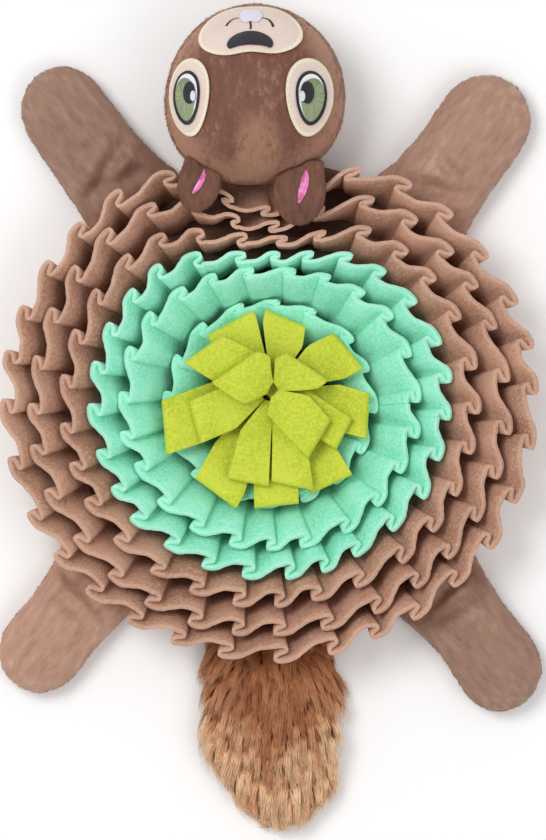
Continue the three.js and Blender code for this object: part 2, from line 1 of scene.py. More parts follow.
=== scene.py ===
# %% [markdown]
# # A snuffle toy: a flat plush squirrel whose back is a mat of fleece ruffles
# Treats are hidden between the ruffles and a dog sniffs them out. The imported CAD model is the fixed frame
# of this lesson: it says where each piece is, and every piece made here lies in the place of its CAD
# solid. We go through the toy as its maker would, first the finishes, then the ruffles, the rosette, the
# stuffed parts, the face and the fur.

# %% Load the fixed frame
import math
import random

import bpy
import numpy as np
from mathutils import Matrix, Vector
from mathutils.bvhtree import BVHTree


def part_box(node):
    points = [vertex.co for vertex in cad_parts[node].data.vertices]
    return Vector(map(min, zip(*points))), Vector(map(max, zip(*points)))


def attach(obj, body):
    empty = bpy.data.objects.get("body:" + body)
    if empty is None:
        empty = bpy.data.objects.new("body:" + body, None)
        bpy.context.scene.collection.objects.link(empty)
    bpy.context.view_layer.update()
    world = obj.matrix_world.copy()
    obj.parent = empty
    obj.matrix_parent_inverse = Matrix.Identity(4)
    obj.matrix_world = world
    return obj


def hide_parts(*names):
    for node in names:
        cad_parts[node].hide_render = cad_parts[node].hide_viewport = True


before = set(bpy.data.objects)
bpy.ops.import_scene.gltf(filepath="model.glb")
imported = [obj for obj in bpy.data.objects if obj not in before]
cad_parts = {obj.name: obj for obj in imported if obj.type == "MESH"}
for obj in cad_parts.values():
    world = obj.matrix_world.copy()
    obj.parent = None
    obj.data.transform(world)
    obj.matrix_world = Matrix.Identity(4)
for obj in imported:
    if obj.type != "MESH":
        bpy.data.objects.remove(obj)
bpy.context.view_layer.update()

MM = 0.001
print("CAD nodes:", len(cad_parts))

# %% [markdown]
# ## Small tools
# A finished piece is one plain mesh whose object sits at the origin, so modifiers are only used while it
# is being made. `settle` takes the evaluated mesh, with all of its modifiers, and puts it in their place.
# `dress` then gives the piece to the frame: it rides on the only body, since cloth has no joints, and it
# stands for its CAD nodes.


# %% Make, settle and dress a piece
def add_mesh(name, points, faces, edges=()):
    mesh = bpy.data.meshes.new(name)
    mesh.from_pydata([tuple(point) for point in points], list(edges), [tuple(face) for face in faces])
    piece = bpy.data.objects.new(name, mesh)
    bpy.context.scene.collection.objects.link(piece)
    return piece


def settle(piece):
    graph = bpy.context.evaluated_depsgraph_get()
    mesh = bpy.data.meshes.new_from_object(piece.evaluated_get(graph))
    piece.modifiers.clear()
    piece.data = mesh
    mesh.polygons.foreach_set("use_smooth", [True] * len(mesh.polygons))
    return piece


def modify(piece, kind, **settings):
    modifier = piece.modifiers.new(kind.lower(), kind)
    for key, value in settings.items():
        setattr(modifier, key, value)
    return modifier


def dress(piece, slot, *nodes):
    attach(piece, "root")
    if nodes:
        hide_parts(*nodes)
    return piece


def corners_of(piece):
    """The mesh's points as an array of rows, in metres."""
    flat = np.empty(3 * len(piece.data.vertices))
    piece.data.vertices.foreach_get("co", flat)
    return flat.reshape(-1, 3)


def move_corners(piece, points):
    piece.data.vertices.foreach_set("co", points.ravel())
    piece.data.update()


def row_dicts(keys, rows):
    """A table written once with its headings, as one dict for each row."""
    return [dict(zip(keys.split(), row)) for row in rows]


def triangles(piece):
    return sum(len(polygon.vertices) - 2 for polygon in piece.data.polygons)


# %% [markdown]
# Node trees are easier to read as sums than as wires. A `Field` is one value inside a tree, and adding or
# multiplying fields adds the Math nodes that work it out. The same small class serves Geometry Nodes and
# shader nodes.


# %% Write node trees as sums
def plug(tree, value, socket):
    if isinstance(value, Field):
        tree.links.new(value.socket, socket)
    elif isinstance(value, bpy.types.NodeSocket):
        tree.links.new(value, socket)
    else:
        socket.default_value = value


def add_node(tree, kind, inputs=None, **settings):
    node = tree.nodes.new(kind)
    for key, value in settings.items():
        setattr(node, key, value)
    for label, value in (inputs or {}).items():
        plug(tree, value, node.inputs[label])
    return node


class Field:
    """One value inside a node tree."""

    def __init__(self, tree, socket):
        self.tree = tree
        self.socket = socket

    def math(self, operation, *others):
        node = add_node(self.tree, "ShaderNodeMath", operation=operation)
        for socket, value in zip(node.inputs, (self, *others)):
            plug(self.tree, value, socket)
        return Field(self.tree, node.outputs[0])

    def __add__(self, other):
        return self.math("ADD", other)

    def __sub__(self, other):
        return self.math("SUBTRACT", other)

    def __mul__(self, other):
        return self.math("MULTIPLY", other)

    def __truediv__(self, other):
        return self.math("DIVIDE", other)

    def __pow__(self, other):
        return self.math("POWER", other)

    def __neg__(self):
        return self.math("MULTIPLY", -1.0)

    def mix(self, other, share):
        """This value where share is 0, and the other where share is 1."""
        return self + (other - self) * share


def split(tree, vector):
    """The x, y and z of a vector socket, as fields."""
    parts = add_node(tree, "ShaderNodeSeparateXYZ", {0: vector})
    return [Field(tree, socket) for socket in parts.outputs]


def vector_math(tree, operation, *values, output=0):
    """The result of a Vector Math node. Output 1 is its number, as of a dot product."""
    node = add_node(tree, "ShaderNodeVectorMath", operation=operation)
    for socket, value in zip(node.inputs, values):
        plug(tree, value, socket)
    return node.outputs[output]


def geometry_tree(name, **sizes):
    """A Geometry Nodes tree with named inputs, the fields that hold them, and its first and last nodes."""
    kinds = {float: "NodeSocketFloat", tuple: "NodeSocketVector", bpy.types.Material: "NodeSocketMaterial"}
    kinds[bpy.types.Object] = "NodeSocketObject"
    tree = bpy.data.node_groups.new(name, "GeometryNodeTree")
    tree.interface.new_socket("Geometry", in_out="INPUT", socket_type="NodeSocketGeometry")
    tree.interface.new_socket("Geometry", in_out="OUTPUT", socket_type="NodeSocketGeometry")
    for label, value in sizes.items():
        socket = tree.interface.new_socket(label, in_out="INPUT", socket_type=kinds[type(value)])
        socket.default_value = value
    entry = tree.nodes.new("NodeGroupInput")
    end = tree.nodes.new("NodeGroupOutput")
    return tree, {label: Field(tree, entry.outputs[label]) for label in sizes}, entry, end


def end_tree(tree, end, geometry, material):
    """Realize Instances and Set Material close every tree, because the export drops instances."""
    real = add_node(tree, "GeometryNodeRealizeInstances", {"Geometry": geometry})
    coated = add_node(tree, "GeometryNodeSetMaterial", {"Geometry": real.outputs[0], "Material": material})
    tree.links.new(coated.outputs[0], end.inputs[0])


def add_tree(piece, tree, **sizes):
    """Puts a tree on a piece. A modifier's inputs are set by their sockets' identifiers."""
    modifier = modify(piece, "NODES", node_group=tree)
    for item in tree.interface.items_tree:
        if item.in_out == "INPUT" and item.name in sizes:
            modifier[item.identifier] = sizes[item.name]
    return piece


# %% [markdown]
# ## Finishes
# Four kinds of surface cover the toy. Fleece has a dull nap of tiny pills with painted shade in their
# hollows, a painted highlight along the ruffles' free edge, and lint. Plush is a short pile with painted
# highlight and painted shade as it leans to or from the light. The tail is long fur. The face is felt and
# thread. Two effects serve more than one material, so each is a shader node group: `nap` and `pile`. They
# put out a colour and a height, and the Principled BSDF stays in each material.


# %% Shader groups: the nap of fleece and the lean of pile
def shade(*parts):
    """An sRGB colour, from 0 to 255, as the linear colour that nodes use."""

    def linear(part):
        share = part / 255
        return share / 12.92 if part < 10 else ((share + 0.055) / 1.055) ** 2.4

    return (*(linear(part) for part in parts), 1.0)


def shader_group(name, colours, numbers):
    tree = bpy.data.node_groups.new(name, "ShaderNodeTree")
    tree.interface.new_socket("Place", in_out="INPUT", socket_type="NodeSocketVector")
    for label in colours:
        tree.interface.new_socket(label, in_out="INPUT", socket_type="NodeSocketColor")
    for label in numbers:
        tree.interface.new_socket(label, in_out="INPUT", socket_type="NodeSocketFloat")
    tree.interface.new_socket("Colour", in_out="OUTPUT", socket_type="NodeSocketColor")
    tree.interface.new_socket("Height", in_out="OUTPUT", socket_type="NodeSocketFloat")
    entry = tree.nodes.new("NodeGroupInput")
    end = tree.nodes.new("NodeGroupOutput")
    return tree, entry.outputs, end.inputs


def noise_field(tree, place, scale, detail=2.0, rough=0.5):
    inputs = {"Vector": place, "Scale": scale, "Detail": detail, "Roughness": rough}
    return Field(tree, add_node(tree, "ShaderNodeTexNoise", inputs).outputs[0])


def between(tree, field, low, high):
    """0 below low, 1 above high, and smooth between them."""
    inputs = {"Value": field, "From Min": low, "From Max": high}
    node = add_node(tree, "ShaderNodeMapRange", inputs, interpolation_type="SMOOTHSTEP")
    return Field(tree, node.outputs[0])


def blend_colour(tree, share, first, second):
    node = add_node(tree, "ShaderNodeMix", data_type="RGBA")
    plug(tree, share, node.inputs[0])
    plug(tree, first, node.inputs[6])
    plug(tree, second, node.inputs[7])
    return node.outputs[2]


# hollow sets the painted shade in the pills' hollows, and cut sets the painted highlight along the free
# edge. away and toward set the plush's painted shade and painted highlight.
NAP_LOOK = {"cloud": 38.0, "hollow": (0.58, 0.36), "lint": (0.55, 0.78), "cut": (0.93, 1.0)}
PILE_LOOK = {"patch": 0.45, "away": (0.52, 0.34), "toward": (0.5, 0.7)}


def nap_group():
    """Fleece: pills a millimetre across with painted shade in their hollows, random cloudy mottle, pale
    lint on the pills and a painted highlight along the free edge.
    """
    tree, given, put = shader_group("nap", ["Colour", "Deep", "Lint"], ["Pills", "Edge"])
    pills = noise_field(tree, given["Place"], given["Pills"], 3.0, 0.6)
    cloud = noise_field(tree, given["Place"], NAP_LOOK["cloud"], 2.0)
    # Painted shade: darker in the hollows between the pills, where the bump is low, mixed with random
    # cloudy mottle.
    hollow = between(tree, pills * 0.6 + cloud * 0.4, *NAP_LOOK["hollow"])
    body = blend_colour(tree, hollow * 0.75, given["Colour"], given["Deep"])
    lint = between(tree, pills, *NAP_LOOK["lint"]) * 0.5
    # Painted highlight: lighter along the strip's free edge, the ruffle's top, where the light falls.
    lit_edge = between(tree, Field(tree, given["Edge"]), *NAP_LOOK["cut"]) * 0.38
    pale = (lint + lit_edge).math("MINIMUM", 1.0)
    tree.links.new(blend_colour(tree, pale, body, given["Lint"]), put["Colour"])
    tree.links.new((pills + cloud * 0.4).socket, put["Height"])
    return tree


def pile_group():
    """Plush: streaks along the way it is brushed, with painted shade and painted highlight over patches
    where it leans to or from the light.
    """
    tree, given, put = shader_group("pile", ["Colour", "Deep", "Light"], ["Streaks", "Patches"])
    streak = noise_field(tree, given["Place"], given["Streaks"], 3.0, 0.65)
    patch = noise_field(tree, given["Place"], given["Patches"], 2.0, 0.6)
    lean = streak * (1 - PILE_LOOK["patch"]) + patch * PILE_LOOK["patch"]
    # Painted shade where the pile leans from the light, and painted highlight where it leans towards it.
    away = between(tree, lean, *PILE_LOOK["away"]) * 0.7
    toward = between(tree, lean, *PILE_LOOK["toward"]) * 0.75
    body = blend_colour(tree, away, given["Colour"], given["Deep"])
    tree.links.new(blend_colour(tree, toward, body, given["Light"]), put["Colour"])
    tree.links.new(lean.socket, put["Height"])
    return tree


NAP = nap_group()
PILE = pile_group()
print("shader groups:", NAP.name, PILE.name)


# %% Materials
def material_with(name, roughness, sheen=0.0, sheen_tint=(1.0, 1.0, 1.0, 1.0)):
    """A new material, its tree and its shader, whose own sockets keep the values that don't vary."""
    material = bpy.data.materials.new(name)
    material.use_nodes = True
    shader = material.node_tree.nodes["Principled BSDF"]
    shader.inputs["Roughness"].default_value = roughness
    shader.inputs["Sheen Weight"].default_value = sheen
    shader.inputs["Sheen Roughness"].default_value = 0.45
    shader.inputs["Sheen Tint"].default_value = sheen_tint
    shader.inputs["Specular IOR Level"].default_value = 0.25
    return material, material.node_tree, shader


def raise_bump(tree, shader, height, distance, strength=0.6):
    bump = add_node(tree, "ShaderNodeBump", {"Height": height, "Distance": distance, "Strength": strength})
    tree.links.new(bump.outputs[0], shader.inputs["Normal"])


def coat_with(tree, shader, group, inputs, depth, strength=0.6):
    """Colours a material by a shader group and raises the group's height as a bump."""
    node = add_node(tree, "ShaderNodeGroup", node_tree=group)
    for label, value in inputs.items():
        plug(tree, value, node.inputs[label])
    tree.links.new(node.outputs["Colour"], shader.inputs["Base Color"])
    raise_bump(tree, shader, node.outputs["Height"], depth * MM, strength)


def attribute(tree, name):
    return Field(tree, add_node(tree, "ShaderNodeAttribute", attribute_name=name).outputs["Fac"])


def object_place(tree):
    return tree.nodes.new("ShaderNodeTexCoord").outputs["Object"]


FLEECE = {"pills": 620.0, "depth": 0.8}
PLUSH = {"stretch": 3.0, "patches": 42.0, "depth": 1.6}


def fleece(name, colour, deep, lint):
    material, tree, shader = material_with(name, 0.95, 0.25, colour)
    tones = {"Colour": colour, "Deep": deep, "Lint": lint}
    inputs = {"Place": object_place(tree), "Pills": FLEECE["pills"], "Edge": attribute(tree, "edge")}
    coat_with(tree, shader, NAP, {**inputs, **tones}, FLEECE["depth"])
    return material


def plush(name, colour, deep, light, brushed=0.0, streaks=260.0):
    """brushed is the way that the pile lies, in degrees from +X: the noise is stretched along it."""
    material, tree, shader = material_with(name, 0.7, 0.5, light)
    turn = add_node(tree, "ShaderNodeMapping", {"Vector": object_place(tree)}, vector_type="TEXTURE")
    turn.inputs["Rotation"].default_value = (0, 0, math.radians(brushed))
    turn.inputs["Scale"].default_value = (PLUSH["stretch"], 1.0, 1.0)
    tones = {"Colour": colour, "Deep": deep, "Light": light}
    inputs = {"Place": turn.outputs[0], "Streaks": streaks, "Patches": PLUSH["patches"]}
    coat_with(tree, shader, PILE, {**inputs, **tones}, PLUSH["depth"], 0.8)
    return material


BROWN = fleece("brown_fleece", shade(197, 152, 128), shade(158, 112, 90), shade(220, 188, 168))
MINT = fleece("mint_fleece", shade(160, 240, 210), shade(120, 222, 186), shade(198, 246, 228))
LIME = fleece("lime_fleece", shade(202, 213, 72), shade(172, 186, 44), shade(218, 226, 108))
print("fleeces:", BROWN.name, MINT.name, LIME.name)

# %% [markdown]
# ## The ruffles
# Each ruffle is a long strip of fleece laid in knife pleats and sewn down along one edge, so that its
# other edge stands up in overlapping waves. It could be draped by a simulation, but a maker lays pleats
# by a rule: one pleat is a short line that swings out, turns under itself and comes back. So one Geometry
# Nodes tree makes all six rings. It starts from a flat grid, takes the pleat's line from two curves, and
# rolls the grid up into a leaning ring.

# %% The rule of one pleat and the six rings
# share is how far along the cloth a fold lies. along is a share of the pitch and out a share of the
# depth, first at the sewn line and then at the free edge.
PLEAT = row_dicts(
    "fold share root_along root_out along out",
    [
        ("dip", 0.0, 0.0, -0.25, -0.16, -1.0),
        ("panel", 0.3, 0.26, -0.05, 0.3, -0.1),
        ("lip", 0.6, 0.5, 0.25, 0.74, 1.0),
        ("turn", 0.69, 0.66, 0.16, 0.84, 0.45),
        ("under", 0.85, 0.8, -0.14, 0.62, -0.45),
    ],
)
FLEECE_THICK = 2.2
RUFFLE_FOOT = 8.3
# Dent is how far the head pushes a ring's edge inwards, Wide over how many degrees, and First is where the
# ring's first pleat starts.
RUFFLES = row_dicts(
    "name Root Edge Strip Pleats Depth Dent Wide First",
    [
        ("brown_outer", 130.0, 149.5, 38.0, 32.0, 4.6, 33.0, 17.0, 0.1),
        ("brown_middle", 114.0, 134.5, 38.0, 31.0, 4.6, 27.5, 20.0, 0.7),
        ("brown_inner", 96.0, 116.5, 38.0, 29.0, 4.6, 19.5, 24.0, 0.3),
        ("mint_outer", 79.0, 100.0, 38.0, 27.0, 4.6, 13.0, 28.0, 0.6),
        ("mint_middle", 58.0, 83.5, 38.0, 23.0, 4.1, 6.0, 34.0, 0.0),
        ("mint_inner", 37.0, 58.7, 27.0, 16.0, 3.4, 0.0, 40.0, 0.4),
    ],
)
DENT_AZIMUTH = 91.0
DENT_POWER = 3.0
DENT_CALM = 0.42
OVAL = 0.045
BULGE = 3.2
# The pleats' own unevenness: how often each wave comes in a turn, and its share of a pleat.
UNEVEN_PLEATS = {"Root": (5, 0.09), "Edge": (9, 0.06)}
SWAY = {"size": 4.0, "scale": 0.05, "up": 12.0}
PLEAT_COLUMNS = 24.0
RUFFLE_ROWS = 9


# %% The tree that pleats a ring
def pleat_curve(tree, phase, key, per_pleat):
    """A smooth periodic curve through one column of PLEAT. per_pleat is its gain from pleat to pleat."""
    node = add_node(tree, "ShaderNodeFloatCurve", {"Value": phase})
    node.mapping.use_clip = False
    curve = node.mapping.curves[0]
    places = [(fold["share"] + turn, fold[key] + per_pleat * turn) for turn in (-1, 0, 1) for fold in PLEAT]
    places = places[3:-3]
    curve.points[0].location = places[0]
    curve.points[1].location = places[-1]
    for place in places[1:-1]:
        curve.points.new(*place)
    node.mapping.update()
    return Field(tree, node.outputs[0])


def pleated_ring_tree():
    sizes = {key: value for key, value in RUFFLES[0].items() if key != "name"}
    tree, size, _, end = geometry_tree("pleated_ring", **sizes, Uneven=1.0, Cloth=BROWN)
    columns = size["Pleats"] * PLEAT_COLUMNS + 1.0
    grid = add_node(tree, "GeometryNodeMeshGrid", {"Vertices X": columns, "Vertices Y": RUFFLE_ROWS})
    x, y, _ = split(tree, tree.nodes.new("GeometryNodeInputPosition").outputs[0])
    width = y + 0.5
    place = (x + 0.5) * size["Pleats"]
    number = place.math("FLOOR")
    phase = place - number

    def pleat_start(count):
        turn = count / size["Pleats"] * math.tau
        start = count
        for key, (waves, share) in UNEVEN_PLEATS.items():
            start = start + (turn * waves + size[key]).math("SINE") * share
        return start

    def azimuth_of(along):
        return -(along + size["First"]) / size["Pleats"] * math.tau

    def dent_at(azimuth):
        away = (azimuth + math.radians(180 - DENT_AZIMUTH)).math("FLOORED_MODULO", math.tau) - math.pi
        share = away.math("ABSOLUTE") / (size["Wide"] * math.radians(1))
        return (-(share**DENT_POWER)).math("EXPONENT")

    # The pleat's line is flat at the sewn edge and full at the free one.
    opened = width * 1.4 - width * width * 0.4

    def folded(key, per_pleat):
        root, edge = (pleat_curve(tree, phase, name, per_pleat) for name in ("root_" + key, key))
        return root.mix(edge, opened)

    start = pleat_start(number)
    pitch = pleat_start(number + 1.0) - start
    along = start + pitch * folded("along", 1)
    wave = (number / size["Pleats"] * (7 * math.tau) + size["Edge"]).math("SINE")
    depth = size["Depth"] * (wave * 0.1 + 0.9) * (dent_at(azimuth_of(start)) * -DENT_CALM + 1.0)
    out = depth * folded("out", 0)

    # The strip leans outwards, arched, and less so where the head pushes it in.
    azimuth = azimuth_of(along)
    sine = azimuth.math("SINE")
    oval = size["Edge"] / RUFFLES[0]["Edge"] * OVAL * sine * sine
    reach = size["Edge"] * (-oval + 1.0) - size["Dent"] * dent_at(azimuth) - size["Root"]
    rise = (size["Strip"] ** 2 - reach**2).math("SQRT")
    arch = width * (-width + 1.0) * (4 * BULGE) / size["Strip"]
    swing = (rise.math("ARCTAN2", reach) - math.pi / 2) * width * 0.45
    beside = join(tree, azimuth * size["Edge"], width * SWAY["up"], size["Root"])
    ripple = noise_field(tree, beside, SWAY["scale"], 1.0) - 0.5
    sway = ripple * width * size["Uneven"] * SWAY["size"]
    radius = size["Root"] + reach * width - rise * arch + out * swing.math("COSINE") + sway
    height = rise * width + reach * arch + out * swing.math("SINE") + RUFFLE_FOOT + sway

    spot = join(tree, radius * azimuth.math("COSINE") * MM, radius * sine * MM, height * MM)
    given = {"Geometry": grid.outputs[0], "Name": "edge", "Value": width}
    marked = add_node(tree, "GeometryNodeStoreNamedAttribute", given)
    given = {"Geometry": marked.outputs[0], "Position": spot}
    rolled = add_node(tree, "GeometryNodeSetPosition", given)
    given = {"Geometry": rolled.outputs[0], "Distance": 0.01 * MM}
    sewn = add_node(tree, "GeometryNodeMergeByDistance", given)
    end_tree(tree, end, sewn.outputs[0], size["Cloth"])
    return tree


def join(tree, x, y, z):
    return add_node(tree, "ShaderNodeCombineXYZ", {"X": x, "Y": y, "Z": z}).outputs[0]


# %% Six rings from one tree
def thicken(piece, thick=FLEECE_THICK):
    """Gives a flat sheet its thickness, with its cut edges a little rounded."""
    modify(piece, "SOLIDIFY", thickness=thick * MM, offset=0.0)
    rounding = {"width": 0.3 * thick * MM, "segments": 2, "limit_method": "ANGLE"}
    modify(piece, "BEVEL", **rounding, angle_limit=math.radians(60))
    return settle(piece)


def cloth_area(piece):
    """Half the surface of a thin closed sheet, in square metres."""
    return sum(polygon.area for polygon in piece.data.polygons) / 2


def make_ruffles():
    tree = pleated_ring_tree()
    for ring in RUFFLES:
        node = "ruffle_" + ring["name"]
        piece = add_mesh(node + "_cloth", [], [])
        slot, cloth = ("mint_fleece", MINT) if "mint" in node else ("brown_fleece", BROWN)
        add_tree(piece, tree, **ring, Cloth=cloth)
        thicken(piece)
        dress(piece, slot, node)
        length = cloth_area(piece) / (ring["Strip"] * MM)
        ring["Strip"] * MM
        print(node, triangles(piece), "triangles, from a strip", round(length, 2), "m long")


make_ruffles()

# %% [markdown]
# ## The rosette
# Sixteen strips of lime fleece are folded end to end and sewn down by their ends, low ones first. A
# folded strip is a flat sheet whose path runs out, turns over and comes back, so its grid is worked out
# in code and Solidify gives it the fleece's thickness. Each loop lies in the bowl that the innermost
# ruffle makes.

# %% The sixteen loops' sizes
# azimuth and length place the fold's middle, skew turns the fold from square, and left and right are how
# fast the strip spreads to either side, seen from the knot. tier 0 is the lowest.
ROSETTE = {"x": 2.0, "y": 8.0, "knot": 6.7, "tier": 8.4, "crease": 1.6, "starts": (7.4, 7.4, 2.6)}
LOOPS = row_dicts(
    "azimuth length tier skew width left right",
    [
        (123.5, 45.5, 0, -5, 29.5, 0.7, 0.36),
        (80.5, 41.5, 0, -15, 25, 0.36, 0.45),
        (27, 48.5, 0, 14, 26.5, 0.45, 0.355),
        (-16, 56.5, 0, 13, 26, 0.355, 0.355),
        (-58.5, 64, 0, -7, 26, 0.355, 0.24),
        (-88.5, 67, 0, 5, 25.5, 0.24, 0.245),
        (-119, 68.5, 0, -8, 29, 0.245, 0.35),
        (199.5, 66.5, 0, -15, 31, 0.35, 0.7),
        (150.5, 46.5, 1, -26, 26.5, 0.45, 0.8),
        (203, 49, 1, -8, 25, 0.44, 0.45),
        (-105, 55.5, 1, 4, 24.5, 0.21, 0.44),
        (-79, 56.5, 1, -24, 25, 0.38, 0.21),
        (-32.5, 48, 1, 6, 20, 0.8, 0.38),
        (151.5, 26, 2, -30, 31, 1.5, 1.3),
        (32.5, 23.5, 2, 27, 28, 1.3, 0.75),
        (-47.5, 39, 2, 18, 25, 0.75, 1.5),
    ],
)
BOWL = {"low": 14, "rise": 21.5, "radius": 62, "power": 1.2}
LOOP_AIR = (0.7, 1.1, 1.4, 1.7)
LOOP_STEPS = 12
FOLD_STEPS = 9
LOOP_COLUMNS = 11
LOOP_PUFF = 1.0


# %% Fold a strip and lay it in the bowl
def bowl_height(x, y):
    return BOWL["low"] + BOWL["rise"] * (np.hypot(x, y) / BOWL["radius"]) ** BOWL["power"]


def sheet_mesh(name, grid, material, closed=False):
    """A sheet through a grid of points in millimetres. closed joins its last column to its first."""
    rows, columns = grid.shape[:2]
    last = columns if closed else columns - 1
    faces = []
    for low in range(0, (rows - 1) * columns, columns):
        for column in range(last):
            after = (column + 1) % columns
            faces.append((low + column, low + after, low + columns + after, low + columns + column))
    piece = add_mesh(name, grid.reshape(-1, 3) * MM, faces)
    piece.data.materials.append(material)
    return piece


def loop_grid(loop):
    start = ROSETTE["starts"][loop["tier"]]
    reach = loop["length"] - start
    last = reach - LOOP_AIR[-1] - FLEECE_THICK
    out = np.linspace(0, last, LOOP_STEPS)
    layer = np.interp(out / last, np.linspace(0, 1, len(LOOP_AIR)), LOOP_AIR) + FLEECE_THICK / 2
    turn = np.radians(np.linspace(-90, 90, FOLD_STEPS))[1:-1]
    path = np.concatenate([out, last + layer[-1] * np.cos(turn), out[::-1]])[:, None]
    puff = LOOP_PUFF * np.sin(np.pi * out / last * 0.9)
    lift = np.concatenate([-layer, layer[-1] * np.sin(turn), (layer + puff)[::-1]])[:, None]
    side = np.linspace(-1, 1, LOOP_COLUMNS)[None, :]
    share = path / reach
    distance = start + path
    spread = np.where(side > 0, loop["left"], loop["right"])
    offset = side * np.minimum(loop["width"] / 2, spread * distance)
    heading = math.radians(loop["azimuth"])
    across = heading + math.pi / 2 + math.radians(loop["skew"]) * share**2
    x = ROSETTE["x"] + distance * math.cos(heading) + offset * np.cos(across)
    y = ROSETTE["y"] + distance * math.sin(heading) + offset * np.sin(across)
    ridge = ROSETTE["crease"] * (1 - np.abs(side)) * (1 - share)
    soft = 0.5 * np.sin(0.21 * x + 1.7 * loop["skew"]) * np.sin(0.17 * y + loop["length"]) * share
    height = bowl_height(x, y) + loop["tier"] * ROSETTE["tier"] + ridge + soft + lift
    return np.stack([x, y, height], axis=-1)


def make_loops():
    for number, loop in enumerate(LOOPS, 1):
        node = f"rosette_loop_{number}"
        piece = thicken(sheet_mesh(node + "_cloth", loop_grid(loop), LIME))
        dress(piece, "lime_fleece", node)
        flat = (loop["width"] * MM, 2 * loop["length"] * MM)
        area = min(cloth_area(piece), flat[0] * flat[1])
    print(len(LOOPS), "loops of", triangles(piece), "triangles each")


make_loops()


# %% The knot of gathered ends
KNOT = {"below": 4.9, "columns": 54, "folds": 9, "fold_depth": 0.06}


def turned_mesh(name, profile, columns, material, folds=0, fold_depth=0.0, centre=(0.0, 0.0)):
    """A body of revolution from radius and height pairs, with soft upright folds round it if asked."""
    angle = np.linspace(0, 2 * np.pi, columns, endpoint=False)[None, :]
    radius, height = np.array(profile, float).T[:, :, None]
    radius = radius * (1 + fold_depth * np.sin(folds * angle))
    x = centre[0] + radius * np.cos(angle)
    y = centre[1] + radius * np.sin(angle)
    piece = sheet_mesh(name, np.stack([x, y, height + 0 * angle], -1), material, closed=True)
    modify(piece, "WELD", merge_threshold=0.01 * MM)
    return settle(piece)


def make_knot():
    centre = (ROSETTE["x"], ROSETTE["y"])
    top = bowl_height(*centre) + 2 * ROSETTE["tier"] - KNOT["below"]
    knot = ROSETTE["knot"]
    profile = [(0, RUFFLE_FOOT), (knot, RUFFLE_FOOT), (knot * 0.94, 0.5 * top), (knot * 0.72, top - 1.2)]
    profile += [(knot * 0.5, top - 0.3), (0, top)]
    gathers = {"folds": KNOT["folds"], "fold_depth": KNOT["fold_depth"], "centre": centre}
    piece = turned_mesh("rosette_knot_cloth", profile, KNOT["columns"], LIME, **gathers)
    dress(piece, "lime_fleece", "rosette_knot")


make_knot()

# %% [markdown]
# ## Stuffed parts
# The head, the limbs and the ears are sewn covers filled with fibre, so their skin is tight and smooth
# where it is full and creased where it is sewn down. A cloth simulation with pressure gives that: each
# starts as a voxel remesh of its CAD solid, shrunk a little, and is blown up for twenty frames. No point
# may move further than a set swell. The cover is then stretched to its solid's box, and its underside is
# laid flat. Creases are pressed in afterwards, where the photograph shows them.

# %% Blow up a cover
SIM_FRAMES = 20
CLOTH = {
    "use_pressure": True,
    "uniform_pressure_force": 4.0,
    "quality": 4,
    "mass": 0.3,
    "tension_stiffness": 20,
    "bending_stiffness": 0.6,
}
PILE_ROOM = 0.7
SHOULDER = {"height": 0.45, "away": 2.1}


def cad_copy(name, node):
    """A copy of a CAD node's mesh, with its loose triangles joined up."""
    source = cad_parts[node].data
    points = [vertex.co.copy() for vertex in source.vertices]
    piece = add_mesh(name, points, [tuple(polygon.vertices) for polygon in source.polygons])
    modify(piece, "WELD", merge_threshold=0.02 * MM)
    return settle(piece)


def blow_up(piece, swell):
    """Cloth with pressure and no gravity, kept within swell millimetres of where each point began."""
    begin = corners_of(piece)
    cloth = modify(piece, "CLOTH")
    for key, value in CLOTH.items():
        setattr(cloth.settings, key, value)
    cloth.settings.effector_weights.gravity = 0
    for step in range(1, SIM_FRAMES + 1):
        bpy.context.scene.frame_set(step)
    settle(piece)
    moved = corners_of(piece) - begin
    far = np.linalg.norm(moved, axis=1, keepdims=True)
    move_corners(piece, begin + moved * np.minimum(1, swell * MM / np.maximum(far, 1e-9)))
    bpy.context.scene.frame_set(1)


def stuffed(node, voxel, slack, swell, smooth=8):
    """A filled cover over a CAD node. voxel is its fineness, and slack is how far it shrinks first."""
    piece = cad_copy(node + "_cover", node)
    modify(piece, "REMESH", mode="VOXEL", voxel_size=voxel * MM)
    modify(piece, "SMOOTH", factor=0.5, iterations=smooth)
    modify(piece, "DISPLACE", strength=-slack * MM, mid_level=0.0)
    settle(piece)
    blow_up(piece, swell)
    modify(piece, "SMOOTH", factor=0.5, iterations=3)
    settle(piece)
    fit_to_solid(piece, PILE_ROOM)
    rest_on_floor(piece)
    modify(piece, "SUBSURF", levels=1, render_levels=1)
    return settle(piece)


def fit_to_solid(piece, inset):
    """Stretches a cover so that its box is its solid's box, less a margin that the pile fills."""
    points = corners_of(piece)
    low, high = (np.array(corner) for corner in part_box(piece_node(piece)))
    low, high = low + inset * MM, high - inset * MM
    low[2] = low[2] - inset * MM
    now_low, now_high = points.min(axis=0), points.max(axis=0)
    move_corners(piece, low + (points - now_low) * (high - low) / (now_high - now_low))


def rest_on_floor(piece):
    points = corners_of(piece)
    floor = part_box(piece_node(piece))[0][2]
    points[:, 2] = np.maximum(points[:, 2], floor)
    move_corners(piece, points)


def piece_node(piece):
    return piece.name.replace("_cover", "")


